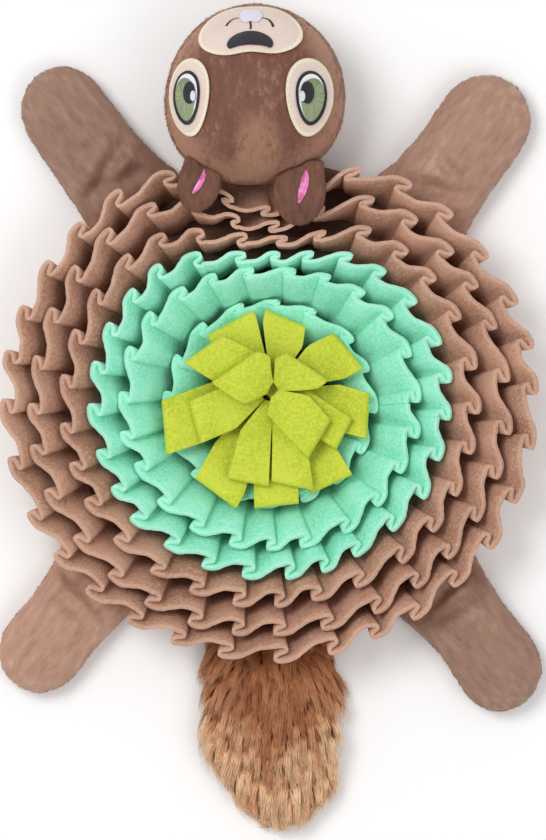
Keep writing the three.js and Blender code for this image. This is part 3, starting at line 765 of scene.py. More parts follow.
def press(piece, start, end, depth, width):
    """Presses a soft trough with raised shoulders into the upper side, along a line on the floor plan."""
    points = corners_of(piece)
    plan = points[:, :2] / MM
    start, end = np.array(start, float), np.array(end, float)
    along = end - start
    share = np.clip((plan - start) @ along / (along @ along), 0, 1)
    away = np.linalg.norm(plan - start - share[:, None] * along, axis=1)
    taper = np.sin(np.pi * np.clip(share * 0.9 + 0.05, 0, 1)) ** 0.6
    low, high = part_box(piece_node(piece))
    upper = np.clip((points[:, 2] - low[2]) / (high[2] - low[2]) * 1.6 - 0.3, 0, 1)
    shoulder = SHOULDER["height"] * np.exp(-(((away - SHOULDER["away"] * width) / width) ** 2))
    fall = np.exp(-((away / width) ** 2)) - shoulder
    points[:, 2] -= depth * MM * fall * taper * upper
    move_corners(piece, points)


# %% Plush and the four limbs
# tone scales each limb's plush colours: painted highlight above 1, where the pile leans towards us, and
# painted shade below 1, where it leans away.
LIMBS = row_dicts(
    "name azimuth heading length tone",
    [
        ("limb_front_left", 124, 130.6, 98, 0.9),
        ("limb_front_right", 51.6, 52, 97, 1.02),
        ("limb_back_left", 225.2, 232, 85, 1.09),
        ("limb_back_right", 313, 310.5, 93, 0.92),
    ],
)
LIMB_START = 134.0
LIMB_TONES = {"colour": (164, 128, 110), "deep": (138, 102, 86), "light": (190, 156, 138)}
# A crease lies across a limb: how far out it is, its slant, its reach to either side, its depth and its
# width.
CREASES = row_dicts(
    "limb at slant half depth width",
    [
        (0, 0.3, -20, 18, 4.2, 3.8),
        (0, 0.21, 18, 14, 3.4, 3.6),
        (0, 0.46, 26, 9, 1.9, 4.0),
        (1, 0.23, -24, 18, 4.0, 3.8),
        (1, 0.35, 14, 12, 2.6, 3.6),
        (2, 0.22, 10, 21, 4.6, 3.6),
        (2, 0.33, 2, 15, 3.2, 4.2),
        (3, 0.15, -6, 20, 4.0, 2.8),
        (3, 0.27, 14, 15, 3.4, 3.8),
        (3, 0.46, -22, 10, 2.0, 4.4),
    ],
)


def limb_plush(tone):
    """Each limb's colours scaled by its tone: painted highlight where the pile leans towards us, painted
    shade where it leans away.
    """
    return {key: shade(*(min(255, part * tone) for part in parts)) for key, parts in LIMB_TONES.items()}


def limb_spot(limb, share, beside=0.0):
    """A place on a limb's middle line, or beside it, on the floor plan."""
    root, ahead = math.radians(limb["azimuth"]), math.radians(limb["heading"])
    out = limb["length"] * share
    x = LIMB_START * math.cos(root) + out * math.cos(ahead) - beside * math.sin(ahead)
    y = LIMB_START * math.sin(root) + out * math.sin(ahead) + beside * math.cos(ahead)
    return x, y


def make_limbs():
    made = []
    for number, limb in enumerate(LIMBS):
        piece = stuffed(limb["name"], voxel=3.4, slack=1.6, swell=2.2)
        for crease in CREASES:
            if crease["limb"] != number:
                continue
            slant = math.tan(math.radians(crease["slant"])) * crease["half"] / limb["length"]
            start = limb_spot(limb, crease["at"] - slant, -crease["half"])
            end = limb_spot(limb, crease["at"] + slant, crease["half"])
            press(piece, start, end, crease["depth"], crease["width"])
        coat = plush(limb["name"] + "_plush", **limb_plush(limb["tone"]), brushed=limb["heading"])
        piece.data.materials.append(coat)
        dress(piece, "plush", limb["name"])
        made.append(piece)
        print(limb["name"], triangles(piece), "triangles")
    return made


LIMB_COVERS = make_limbs()

# %% [markdown]
# The head is the fullest part. Its plush has painted shade on top, where the pile leans away from us, and
# is pale on its sides and at the back of its crown, where the pile is longer. Those two masks are distances
# in Object coordinates.

# %% The head's plush and cover
HEAD = {"x": -9.0, "y": 175.8, "z": 42.0, "across": 52.0, "along": 52.5, "up": 45.0}
CROWN = {"x": -7.0, "y": 143.0, "wide": 17.0, "long": 27.0}
# Where the painted shade on top of the head lies: the pile leans away from us there.
SHADED_TOP = {"wide": 44, "long": 50, "edge": (0.72, 1.08)}
HEAD_PLUSH = {"streaks": 420.0, "patches": 60.0, "depth": 1.6, "squeeze": (1.0, 0.42, 0.6)}


def near(tree, place, centre, halves, low, high):
    """1 inside an ellipsoid about centre and 0 outside it, smooth between low and high of its radius."""
    sides = zip(split(tree, place), centre, halves)
    squares = [((part - middle * MM) / (half * MM)) ** 2 for part, middle, half in sides]
    return between(tree, (squares[0] + squares[1] + squares[2]).math("SQRT"), high, low)


def head_plush():
    material, tree, shader = material_with("head_plush", 0.62, 0.6, shade(190, 150, 130))
    place = object_place(tree)
    stretched = add_node(tree, "ShaderNodeMapping", {"Vector": place})
    stretched.inputs["Scale"].default_value = HEAD_PLUSH["squeeze"]
    # Painted shade: darker on top of the head.
    middle, halves = (HEAD["x"], HEAD["y"] - 1, 80), (SHADED_TOP["wide"], SHADED_TOP["long"], 200)
    top = near(tree, place, middle, halves, *SHADED_TOP["edge"])
    middle, halves = (CROWN["x"], CROWN["y"], 70), (CROWN["wide"], CROWN["long"], 60)
    crown = near(tree, place, middle, halves, 0.5, 1.0)
    dark = blend_colour(tree, top, shade(164, 121, 100), shade(116, 76, 63))
    body = blend_colour(tree, crown, dark, shade(152, 112, 90))
    tones = {"Colour": body, "Deep": shade(98, 64, 52), "Light": shade(158, 120, 102)}
    scales = {"Streaks": HEAD_PLUSH["streaks"], "Patches": HEAD_PLUSH["patches"]}
    inputs = {"Place": stretched.outputs[0], **scales, **tones}
    coat_with(tree, shader, PILE, inputs, HEAD_PLUSH["depth"], 0.9)
    return material


def make_head():
    piece = stuffed("head", voxel=4.0, slack=1.4, swell=1.6)
    piece.data.materials.append(head_plush())
    dress(piece, "plush", "head")
    print("head", triangles(piece), "triangles")
    return piece


HEAD_COVER = make_head()
HEAD_SKIN = BVHTree.FromObject(HEAD_COVER, bpy.context.evaluated_depsgraph_get())


# %% The ears
EAR_PLUSH = {"colour": shade(112, 75, 61), "deep": shade(82, 53, 43), "light": shade(144, 104, 87)}


def make_ears():
    made = []
    for side in ("left", "right"):
        node = "ear_" + side
        piece = stuffed(node, voxel=1.7, slack=0.5, swell=0.9, smooth=4)
        piece.data.materials.append(plush(node + "_plush", **EAR_PLUSH, brushed=-90.0, streaks=320.0))
        dress(piece, "plush", node)
        made.append(piece)
    print("ears", triangles(made[0]), triangles(made[1]), "triangles")
    return made


EAR_COVERS = make_ears()

# %% The mat's body
BASE = {"radius": 140.0, "height": 8.0, "rim": 3.6, "pinch": 0.9}
DARK_PLUSH = {"colour": shade(112, 78, 64), "deep": shade(82, 54, 44), "light": shade(140, 102, 86)}


def make_base():
    """Two plush discs sewn together round a stiff sheet, so its rim is round and pinched along the seam."""
    radius, height, rim = BASE["radius"], BASE["height"], BASE["rim"]
    round_rim = []
    for angle in np.radians(np.linspace(-90, 90, 13)):
        pinch = BASE["pinch"] * math.exp(-((angle / 0.3) ** 2))
        round_rim.append((radius - rim + rim * math.cos(angle) - pinch, height / 2 * (1 + math.sin(angle))))
    rings = np.linspace(0, radius - 2 * rim, 12)
    profile = [(ring, 0) for ring in rings] + round_rim + [(ring, height) for ring in rings[::-1]]
    piece = turned_mesh("base_cover", profile, 120, plush("base_plush", **DARK_PLUSH))
    dress(piece, "dark_plush", "base")


make_base()

# %% [markdown]
# ## The face
# The patches of the face are felt, cut out and sewn on with satin stitch, and the eyes and the nose are
# satin stitch all over. They lie on the stuffed head wherever the simulation left its skin, so each point
# is found by a ray towards the middle of the head. Each patch carries its own coordinates, across, ahead
# and ring, which its threads follow.

# %% Places on the face
# side and fore are the angles from straight up at which a patch's middle lies, and wide and long are its
# halves. point narrows one end, flat and hollow cut the nose's lower side, and dimple dents an outline in
# its middle.
FACE_ROLL = -4.5
PATCH_SIZES = row_dicts(
    "name fore side wide long",
    [
        ("eye_patch_left", -4.3, -43.5, 15.2, 20),
        ("eye_patch_right", -4.3, 43.5, 15.2, 20),
        ("eye_iris_left", -4.7, -42.5, 9.8, 14),
        ("eye_iris_right", -4.7, 42.5, 9.8, 14),
        ("eye_pupil_left", -0.5, -38.3, 4, 5.6),
        ("eye_pupil_right", -0.5, 38.3, 4, 5.6),
        ("eye_light_left", -3.2, -34.6, 1.7, 2.6),
        ("eye_light_right", -3.2, 34.2, 1.7, 2.6),
        ("muzzle_patch", 46.6, 1.7, 28.5, 20.7),
        ("nose", 31.8, 2, 11.9, 6.7),
        ("teeth", 54.5, 2.6, 5.8, 7),
    ],
)
PATCHES = {patch["name"]: patch for patch in PATCH_SIZES}
for name in ("eye_patch_left", "eye_patch_right", "eye_iris_left", "eye_iris_right"):
    PATCHES[name]["point"] = 0.16
PATCHES["nose"].update({"point": -0.1, "flat": 0.5, "hollow": 1.7})
PATCHES["muzzle_patch"]["dimple"] = 0.1
PATCHES["teeth"]["dimple"] = 0.2
FELT = {"lift": 0.5, "thick": 1.2}
STITCH = {"lift": 1.9, "thick": 0.8, "over": 1.1}
GLINT = {"lift": 3.9, "thick": 0.4}


def face_rays(patch, across, ahead):
    """The directions of places across and ahead, in millimetres over the skin, from a patch's middle."""
    roll, fore = math.radians(patch["side"] + FACE_ROLL), math.radians(patch["fore"])
    centre = np.array([math.sin(roll), math.cos(roll) * math.sin(fore), math.cos(roll) * math.cos(fore)])
    right = np.array([1.0, 0, 0]) - centre[0] * centre
    right /= np.linalg.norm(right)
    forward = np.cross(centre, right)
    length = np.maximum(np.hypot(across, ahead), 1e-6)[..., None]
    turn = length / ((HEAD["across"] + HEAD["up"]) / 2)
    toward = (right * across[..., None] + forward * ahead[..., None]) / length
    ray = centre * np.cos(turn) + toward * np.sin(turn)
    return ray * np.array([HEAD["across"], HEAD["along"], HEAD["up"]])


def on_head(patch, across, ahead, lift):
    """Points in millimetres that lie lift above the head's skin."""
    middle = Vector((HEAD["x"], HEAD["y"], HEAD["z"])) * MM
    rays = face_rays(patch, np.asarray(across, float), np.asarray(ahead, float))
    spots = np.empty(rays.shape)
    lifts = np.broadcast_to(lift, rays.shape[:-1])
    for index in np.ndindex(rays.shape[:-1]):
        ray = Vector(rays[index]).normalized()
        hit, normal, _, _ = HEAD_SKIN.ray_cast(middle + ray * 0.1, -ray)
        spots[index] = (hit + normal * float(lifts[index]) * MM) / MM
    return spots


def outline_of(patch, angle):
    across = np.cos(angle) * patch["wide"] * (1 + patch.get("point", 0) * np.sin(angle))
    ahead = np.sin(angle) * patch["long"]
    if "flat" in patch:
        cut = -patch["long"] * patch["flat"]
        bow = patch["hollow"] * np.maximum(0, 1 - (across / patch["wide"]) ** 2)
        ahead = np.where(ahead < cut + bow, cut + bow, ahead)
    if "dimple" in patch:
        ahead = ahead * (1 - patch["dimple"] * 1.6 * np.exp(-((across / (patch["wide"] * 0.4)) ** 2)))
    return across, ahead


def store(piece, name, values):
    kept = piece.data.attributes.new(name, "FLOAT", "POINT")
    kept.data.foreach_set("value", np.ravel(values).astype(np.float32))


def patch_sheet(name, patch, lift, thick, material, rings=10, columns=48, dome=0.0):
    """A patch as a thin closed sheet. dome lifts its middle, as stitches over padding do."""
    angle = np.linspace(0, 2 * np.pi, columns, endpoint=False)[None, :]
    share = np.linspace(0, 1, rings)[:, None] ** 0.9
    across, ahead = outline_of(patch, angle)
    across, ahead = across * share, ahead * share
    heights = lift + thick / 2 + dome * (1 - share**4) + 0 * across
    piece = sheet_mesh(name, on_head(patch, across, ahead, heights), material, closed=True)
    store(piece, "across", across)
    store(piece, "ahead", ahead)
    store(piece, "ring", share + 0 * across)
    modify(piece, "WELD", merge_threshold=0.001 * MM)
    return thicken(piece, thick)


# %% Felt and thread
IRIS = {"spokes": 9.0, "white": (0.78, 0.84), "black": (0.86, 0.9), "side": {"left": 0.9, "right": 2.2}}


def felt():
    material, tree, shader = material_with("cream_felt", 0.9, 0.3, shade(250, 240, 232))
    inputs = {"Place": object_place(tree), "Pills": 900.0, "Edge": 0.0}
    tones = {"Colour": shade(226, 207, 197), "Deep": shade(214, 192, 181), "Lint": shade(236, 222, 214)}
    coat_with(tree, shader, NAP, {**inputs, **tones}, 0.25)
    return material


def thread_height(place, pitch):
    """Parallel threads as round ridges: place is a field in millimetres across them."""
    return (place * (math.tau / pitch)).math("SINE").math("ABSOLUTE")


def thread(name, colour, deep, across=0.0, ahead=1.0, pitch=0.9):
    """Satin stitch. across and ahead say which way its threads are counted. No pitch: modelled threads."""
    material, tree, shader = material_with(name, 0.42, 0.15, colour)
    shader.inputs["Specular IOR Level"].default_value = 0.4
    uneven = noise_field(tree, object_place(tree), 900.0, 2.0)
    ridge = uneven
    if pitch:
        place = attribute(tree, "across") * across + attribute(tree, "ahead") * ahead
        ridge = thread_height(place, pitch)
    # Painted shade in the grooves between the threads, with random unevenness. With no pitch, only the
    # unevenness varies it.
    body = blend_colour(tree, between(tree, ridge * 0.6 + uneven * 0.4, 0.5, 0.2), colour, deep)
    tree.links.new(body, shader.inputs["Base Color"])
    raise_bump(tree, shader, ridge + uneven * 0.4, 0.22 * MM, 0.8)
    return material


def iris_thread(side):
    """Green threads that run out from the pupil, a white rim inside them, and a black rim outside that."""
    material, tree, shader = material_with("iris_" + side, 0.42, 0.15, shade(200, 214, 180))
    across, ahead, ring = (attribute(tree, key) for key in ("across", "ahead", "ring"))
    angle = ahead.math("ARCTAN2", across * 1.4)
    spokes = noise_field(tree, join(tree, angle * IRIS["spokes"], ring * 1.1, 0.0), 1.0, 3.0, 0.7)
    green = blend_colour(tree, between(tree, spokes, 0.3, 0.68), shade(118, 132, 96), shade(162, 174, 136))
    shadow = between(tree, ahead * 0.06 + ring * 0.5, 0.45, 0.95)
    green = blend_colour(tree, shadow * 0.4, green, shade(98, 108, 82))
    white_side = (angle - IRIS["side"][side]).math("COSINE") * 0.12
    white = between(tree, ring + white_side, *IRIS["white"])
    pale = blend_colour(tree, white, green, shade(236, 238, 240))
    full = blend_colour(tree, between(tree, ring, *IRIS["black"]), pale, shade(36, 38, 46))
    tree.links.new(full, shader.inputs["Base Color"])
    ridge = thread_height(angle * IRIS["spokes"], 1.0)
    raise_bump(tree, shader, ridge * ring, 0.18 * MM, 0.7)
    return material


FELT_CLOTH = felt()
BLACK = thread("black_thread", shade(40, 40, 48), shade(20, 20, 26))
WHITE = thread("white_thread", shade(236, 234, 246), shade(206, 200, 222))
BORDER = thread("border_thread", shade(240, 230, 206), shade(222, 206, 178), pitch=0.0)
PINK = thread("pink_thread", shade(226, 160, 158), shade(196, 124, 128), pitch=0.0)
DARK = thread("dark_thread", shade(38, 38, 46), shade(20, 20, 26), pitch=0.0)


# %% Felt patches and filled stitches
def lay_patch(name, slot, material, layer, **settings):
    lift = (FELT["lift"], STITCH["lift"], STITCH["lift"] + STITCH["over"])[layer]
    thick = FELT["thick"] if layer == 0 else STITCH["thick"]
    piece = patch_sheet(name + "_sewn", PATCHES[name], lift, thick, material, **settings)
    dress(piece, slot, *([name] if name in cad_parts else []))
    return piece


def lay_felt(name):
    piece = lay_patch(name, "cream_felt", FELT_CLOTH, 0, rings=14, columns=72)
    size = (2 * PATCHES[name]["wide"] * MM, 2 * PATCHES[name]["long"] * MM)
    return piece


def lay_eye(side):
    lay_patch("eye_iris_" + side, "green_thread", iris_thread(side), 1, rings=16, columns=72)
    lay_patch("eye_pupil_" + side, "black_thread", BLACK, 2, dome=0.2)
    name = "eye_light_" + side
    light = patch_sheet(name, PATCHES[name], GLINT["lift"], GLINT["thick"], WHITE, rings=5, columns=20)
    dress(light, "white_thread")


FELTS = [lay_felt(name) for name in ("eye_patch_left", "eye_patch_right", "muzzle_patch")]
for side in ("left", "right"):
    lay_eye(side)
lay_patch("nose", "black_thread", BLACK, 1, rings=12, columns=72, dome=0.5)
lay_patch("teeth", "white_thread", WHITE, 1, dome=0.3)
print("felt patches:", [piece.name for piece in FELTS])

# %% [markdown]
# Stitches are one short thread repeated along a line. The tree walks a line of edges, puts a thread at
# each step, and turns it to lie along or across the line with its back away from a centre. A number on
# each point says how long the thread is there, so a satin border can swell and taper.


# %% The tree that sews along a line
def thread_mesh(name, thick, sides=5):
    """One thread, a millimetre long before it is stretched, with rounded ends."""
    stations = [(-0.5, 0.0), (-0.42, 0.7), (-0.15, 1.0), (0.15, 1.0), (0.42, 0.7), (0.5, 0.0)]
    angle = np.linspace(0, 2 * np.pi, sides, endpoint=False)[None, :]
    place, size = np.array(stations).T[:, :, None]
    wide = thick / 2 * size
    grid = np.stack([place + 0 * angle, wide * np.cos(angle), wide * np.sin(angle)], -1)
    piece = sheet_mesh(name, grid, BORDER, closed=True)
    modify(piece, "WELD", merge_threshold=0.0001 * MM)
    return settle(piece)


THREAD = thread_mesh("one_thread", 0.62)


def stitch_tree():
    sizes = {"Spacing": 0.5 * MM, "Turn": 0.0, "Centre": (0.0, 0.0, 0.0), "Thread": THREAD}
    tree, size, entry, end = geometry_tree("stitches", **sizes, Colour=BORDER)
    line = add_node(tree, "GeometryNodeMeshToCurve", {0: entry.outputs["Geometry"]})
    given = {0: line.outputs[0], "Length": size["Spacing"]}
    steps = add_node(tree, "GeometryNodeCurveToPoints", given, mode="LENGTH")
    here = tree.nodes.new("GeometryNodeInputPosition").outputs[0]
    away = vector_math(tree, "SUBTRACT", here, size["Centre"])
    axes = {"Primary Axis": away, "Secondary Axis": steps.outputs["Tangent"]}
    facing = add_node(tree, "FunctionNodeAxesToRotation", axes, primary_axis="Z", secondary_axis="X")
    turned = add_node(tree, "FunctionNodeAxisAngleToRotation", {"Axis": (0, 0, 1), "Angle": size["Turn"]})
    both = {"Rotation": facing.outputs[0], "Rotate By": turned.outputs[0]}
    lying = add_node(tree, "FunctionNodeRotateRotation", both, rotation_space="LOCAL")
    wide = add_node(tree, "GeometryNodeInputNamedAttribute", {"Name": "wide"}, data_type="FLOAT")
    shape = add_node(tree, "GeometryNodeObjectInfo", {"Object": size["Thread"]})
    given = {
        "Points": steps.outputs["Points"],
        "Instance": shape.outputs["Geometry"],
        "Rotation": lying.outputs[0],
        "Scale": join(tree, wide.outputs[0], 1.0, 1.0),
    }
    sewn = add_node(tree, "GeometryNodeInstanceOnPoints", given)
    end_tree(tree, end, sewn.outputs[0], size["Colour"])
    return tree


STITCHES = stitch_tree()
HEAD_MIDDLE = tuple(HEAD[axis] * MM for axis in "xyz")


def sew(name, slot, spots, wide, colour, spacing=0.5, turn=90.0, centre=HEAD_MIDDLE, closed=True):
    """Sews along a line of points in millimetres. At a turn of 90 degrees it is satin stitch."""
    count = len(spots)
    edges = [(k, (k + 1) % count) for k in range(count if closed else count - 1)]
    piece = add_mesh(name, np.asarray(spots) * MM, [], edges)
    store(piece, "wide", np.broadcast_to(wide, count))
    sizes = {"Spacing": spacing * MM, "Turn": math.radians(turn), "Centre": centre, "Colour": colour}
    add_tree(piece, STITCHES, **sizes)
    settle(piece)
    dress(piece, slot)
    return piece


# %% Satin borders, mouth and nose
def border_line(patch, ring, lift, count=120):
    angle = np.linspace(0, 2 * np.pi, count, endpoint=False)
    across, ahead = outline_of(patch, angle)
    return on_head(patch, across * ring, ahead * ring, lift), angle


def sew_borders():
    for name in ("eye_patch_left", "eye_patch_right", "muzzle_patch"):
        line, _ = border_line(PATCHES[name], 0.985, FELT["lift"] + FELT["thick"] - 0.1, 160)
        sew(name + "_border", "cream_felt", line, 2.6, BORDER)
    for name, outer in (("eye_iris_left", 200), ("eye_iris_right", -20)):
        line, angle = border_line(PATCHES[name], 0.93, STITCH["lift"] + STITCH["thick"])
        outside = np.maximum(0, np.cos(angle - math.radians(outer)))
        wide = 1.7 + 0.9 * outside + 0.5 * np.maximum(0, -np.sin(angle))
        sew(name + "_rim", "black_thread", line, wide, DARK, spacing=0.45)


# Lines of the mouth and the nose's lower edge, on the floor plan, with the stitch's width at each point.
MOUTH = {
    "upper_lip": [
        *((-10.9, 210.6, 1.3), (-10.8, 213.1, 1.3), (-11.3, 214.8, 1.2)),
        *((-12.8, 215.8, 1.1), (-14.2, 216.0, 0.8)),
    ],
    "smile_right": [
        *((-4.5, 216.8, 0.6), (-2.3, 216.6, 1.0), (-0.5, 215.5, 1.4)),
        *((0.9, 213.7, 1.7), (1.5, 211.9, 1.6)),
    ],
    "smile_left": [
        *((-17.6, 216.9, 0.5), (-19.8, 216.5, 0.7), (-21.8, 215.4, 1.0)),
        *((-23.2, 214.0, 1.4), (-24.3, 212.5, 1.5)),
    ],
}
NOSE_EDGE = [
    *((-23.0, 200.6, 1.2), (-17.0, 201.6, 2.0), (-11.3, 202.1, 2.2)),
    *((-5.1, 201.5, 2.0), (0.5, 200.6, 1.2)),
]


def dropped_line(skin, points, lift, steps=30):
    """A smooth line through points on the plan, dropped on a skin, and its widths."""
    points = np.array(points)
    place = np.linspace(0, len(points) - 1, steps)
    x, y, wide = (np.interp(place, np.arange(len(points)), column) for column in points.T)
    spots = []
    for px, py in zip(x, y):
        hit, normal, _, _ = skin.ray_cast(Vector((px, py, 300)) * MM, Vector((0, 0, -1)))
        spots.append((hit + normal * lift * MM) / MM)
    return np.array(spots), wide


def sew_mouth():
    top = FELT["lift"] + FELT["thick"] + 0.05
    for name, points in MOUTH.items():
        line, wide = dropped_line(HEAD_SKIN, points, top)
        sew(name, "black_thread", line, wide, DARK, spacing=0.4, closed=False)
    line, wide = dropped_line(HEAD_SKIN, NOSE_EDGE, top + 0.15)
    sew("nose_edge", "pink_satin", line, wide, PINK, spacing=0.4, closed=False)


sew_borders()
sew_mouth()

# %% [markdown]
# The fold in each ear shows a crescent of pink satin. It is laid on the ear's own skin, with soft ridges
# along it.

# %% Satin in the ears
# The crescent's middle line in each ear, on the floor plan, with half its width.
CRESCENTS = {
    "ear_left": [
        *((-37.4, 132.0, 0.4), (-37.6, 129.4, 1.2), (-38.6, 126.6, 1.6)),
        *((-40.4, 123.6, 1.6), (-42.4, 121.0, 1.2), (-44.0, 119.2, 0.4)),
    ],
    "ear_right": [
        *((20.6, 132.0, 0.5), (20.4, 128.4, 1.9), (19.6, 124.0, 2.4)),
        *((18.4, 120.0, 2.4), (17.2, 116.6, 1.7), (16.4, 113.6, 0.5)),
    ],
}
LINING = {"lift": 0.6, "ridge": 0.5, "thick": 0.5, "stations": 24}


def satin():
    material, tree, shader = material_with("pink_satin", 0.35, 0.2, shade(240, 170, 210))
    shader.inputs["Specular IOR Level"].default_value = 0.6
    folds = noise_field(tree, object_place(tree), 220.0, 2.0)
    # Painted shade in the hollows of the soft folds and painted highlight on their crests.
    body = blend_colour(tree, between(tree, folds, 0.35, 0.65), shade(186, 78, 140), shade(226, 122, 182))
    tree.links.new(body, shader.inputs["Base Color"])
    raise_bump(tree, shader, folds, 0.5 * MM, 0.5)
    return material


def make_linings():
    cloth = satin()
    for cover, (node, points) in zip(EAR_COVERS, CRESCENTS.items()):
        skin = BVHTree.FromObject(cover, bpy.context.evaluated_depsgraph_get())
        middle, half = dropped_line(skin, points, 0.0, LINING["stations"])
        ahead = np.gradient(middle[:, :2], axis=0)
        beside = np.stack([-ahead[:, 1], ahead[:, 0]], -1) / np.linalg.norm(ahead, axis=1, keepdims=True)
        rows = []
        for side in np.linspace(-1, 1, 9):
            line = np.column_stack([middle[:, :2] + beside * half[:, None] * side, half])
            lift = LINING["lift"] + LINING["ridge"] * (1 - abs(side))
            rows.append(dropped_line(skin, line, lift, LINING["stations"])[0])
        piece = thicken(sheet_mesh(node + "_satin", np.stack(rows, 1), cloth), LINING["thick"])
        dress(piece, "pink_satin", node + "_lining")


make_linings()

# %% [markdown]
# ## Fur and pile
# The tail is long fur in locks. Its body is a plain slab, and a Geometry Nodes tree plants a lock of
# tapered strands at scattered points. A lock starts along the flow, which spreads from a source near the
# tail's root, leans off the skin, and strays a little. Each lock carries a tone, and each strand knows
# how far along it a point is.

# %% The tail's body
TAIL = {"y": -134.0, "length": 101.0, "root": 31.0, "swell": 34.0, "thick": 22.0, "low": 4.4, "drift": 7.0}
FUR_SOURCE = (-3.0 * MM, -70.0 * MM, 30.0 * MM)
BLOND_FROM = (0.56, 0.94)


def smooth_step(t):
    t = np.clip(t, 0, 1)
    return t * t * (3 - 2 * t)


def tail_grid(columns=48, stations=44):
    share = np.sin(np.linspace(0, 1, stations) * np.pi / 2)[:, None] ** 1.1
    angle = np.linspace(0, 2 * np.pi, columns, endpoint=False)[None, :]
    belly = TAIL["root"] + (TAIL["swell"] - TAIL["root"]) * smooth_step(share * 2.1)
    taper = np.sqrt(np.maximum(0, 1 - np.maximum(0, (share - 0.42) / 0.58) ** 2.1))
    rise = TAIL["low"] + (TAIL["thick"] / 2 - TAIL["low"]) * smooth_step(share * 3.2)
    lump = 1 + 0.05 * np.sin(3 * angle + 9 * share) + 0.035 * np.sin(5 * angle - 14 * share)
    lift = np.sin(angle)
    middle = rise * 0.9
    x = belly * taper * np.cos(angle) * lump + TAIL["drift"] * (share - 0.25)
    y = TAIL["y"] - TAIL["length"] * share + 0 * angle
    up = np.where(lift > 0, rise * taper**0.8 * lift * lump, np.maximum(-1, 1.3 * lift) * middle)
    return np.stack([x, y, np.maximum(0.6, middle + up)], -1)


def fur(name):
    """Strands darker at their roots than at their tips, and blond towards the tail's end and its sides."""
    material, tree, shader = material_with(name, 0.5, 0.2, shade(230, 190, 150))
    shader.inputs["Specular IOR Level"].default_value = 0.35
    x, y, _ = split(tree, object_place(tree))
    along, tone = attribute(tree, "along"), attribute(tree, "tone")
    down = (-y - 0.13) / 0.12
    beside = (x - 0.004).math("ABSOLUTE") / 0.13
    tip = between(tree, down + beside + tone * 0.16, *BLOND_FROM)
    root = blend_colour(tree, tone, shade(166, 104, 66), shade(196, 132, 88))
    middle = blend_colour(tree, tone, shade(188, 120, 77), shade(218, 152, 104))
    blond = blend_colour(tree, tone, shade(250, 192, 146), shade(255, 224, 182))
    strand = blend_colour(tree, between(tree, along, 0.0, 0.55), root, middle)
    pale = blend_colour(tree, tip, middle, blond)
    strand = blend_colour(tree, between(tree, along, -0.4, 0.6) * tip, strand, pale)
    strand = blend_colour(tree, between(tree, along, 0.6, 1.0) * 0.25, strand, blond)
    tree.links.new(strand, shader.inputs["Base Color"])
    return material


FUR = fur("fur_strands")


# %% A lock of strands
LOCKS = row_dicts(
    "strands length thick spread droop seed",
    [
        (12, 15.0, 0.34, 0.34, 0.12, 3),
        (14, 20.0, 0.28, 0.2, 0.16, 5),
        (5, 1.9, 0.13, 0.7, 0.15, 2),
    ],
)
UNDER_LOCK, OVER_LOCK, PILE_LOCK = LOCKS


def lock_mesh(name, strands, length, thick, spread, droop, seed, stations=(0.0, 0.35, 0.72)):
    """Strands along +Y from one root, each a tapered tube of three sides that ends in a point."""
    chance = random.Random(seed)
    points, faces, along = [], [], []
    for _ in range(strands):
        first = len(points)
        out = chance.uniform(-1, 1) * spread
        start = chance.uniform(-0.5, 0.5) * spread * length
        long = length * chance.uniform(0.72, 1.08)
        wave = chance.uniform(-0.12, 0.12)
        for share in stations:
            x = start * (1 - share) + out * length * 0.35 * share + wave * long * share * share
            z = long * (0.16 * math.sin(math.pi * share) - droop * share * share)
            size = thick * (1 - 0.75 * share)
            for corner in range(3):
                turn = corner * math.tau / 3
                points.append((x + size * math.cos(turn), long * share, z + size * math.sin(turn)))
                along.append(share)
        points.append((out * length * 0.35 * 0.6 + wave * long, long, -droop * long))
        along.append(1.0)
        rings = len(stations)
        for ring in range(rings - 1):
            for corner in range(3):
                after = (corner + 1) % 3
                base = first + 3 * ring
                faces.append((base + after, base + corner, base + corner + 3, base + after + 3))
        last = first + 3 * (rings - 1)
        faces += [(last + (corner + 1) % 3, last + corner, first + 3 * rings) for corner in range(3)]
    piece = add_mesh(name, np.array(points) * MM, faces)
    piece.data.materials.append(FUR)
    store(piece, "along", along)
    return piece


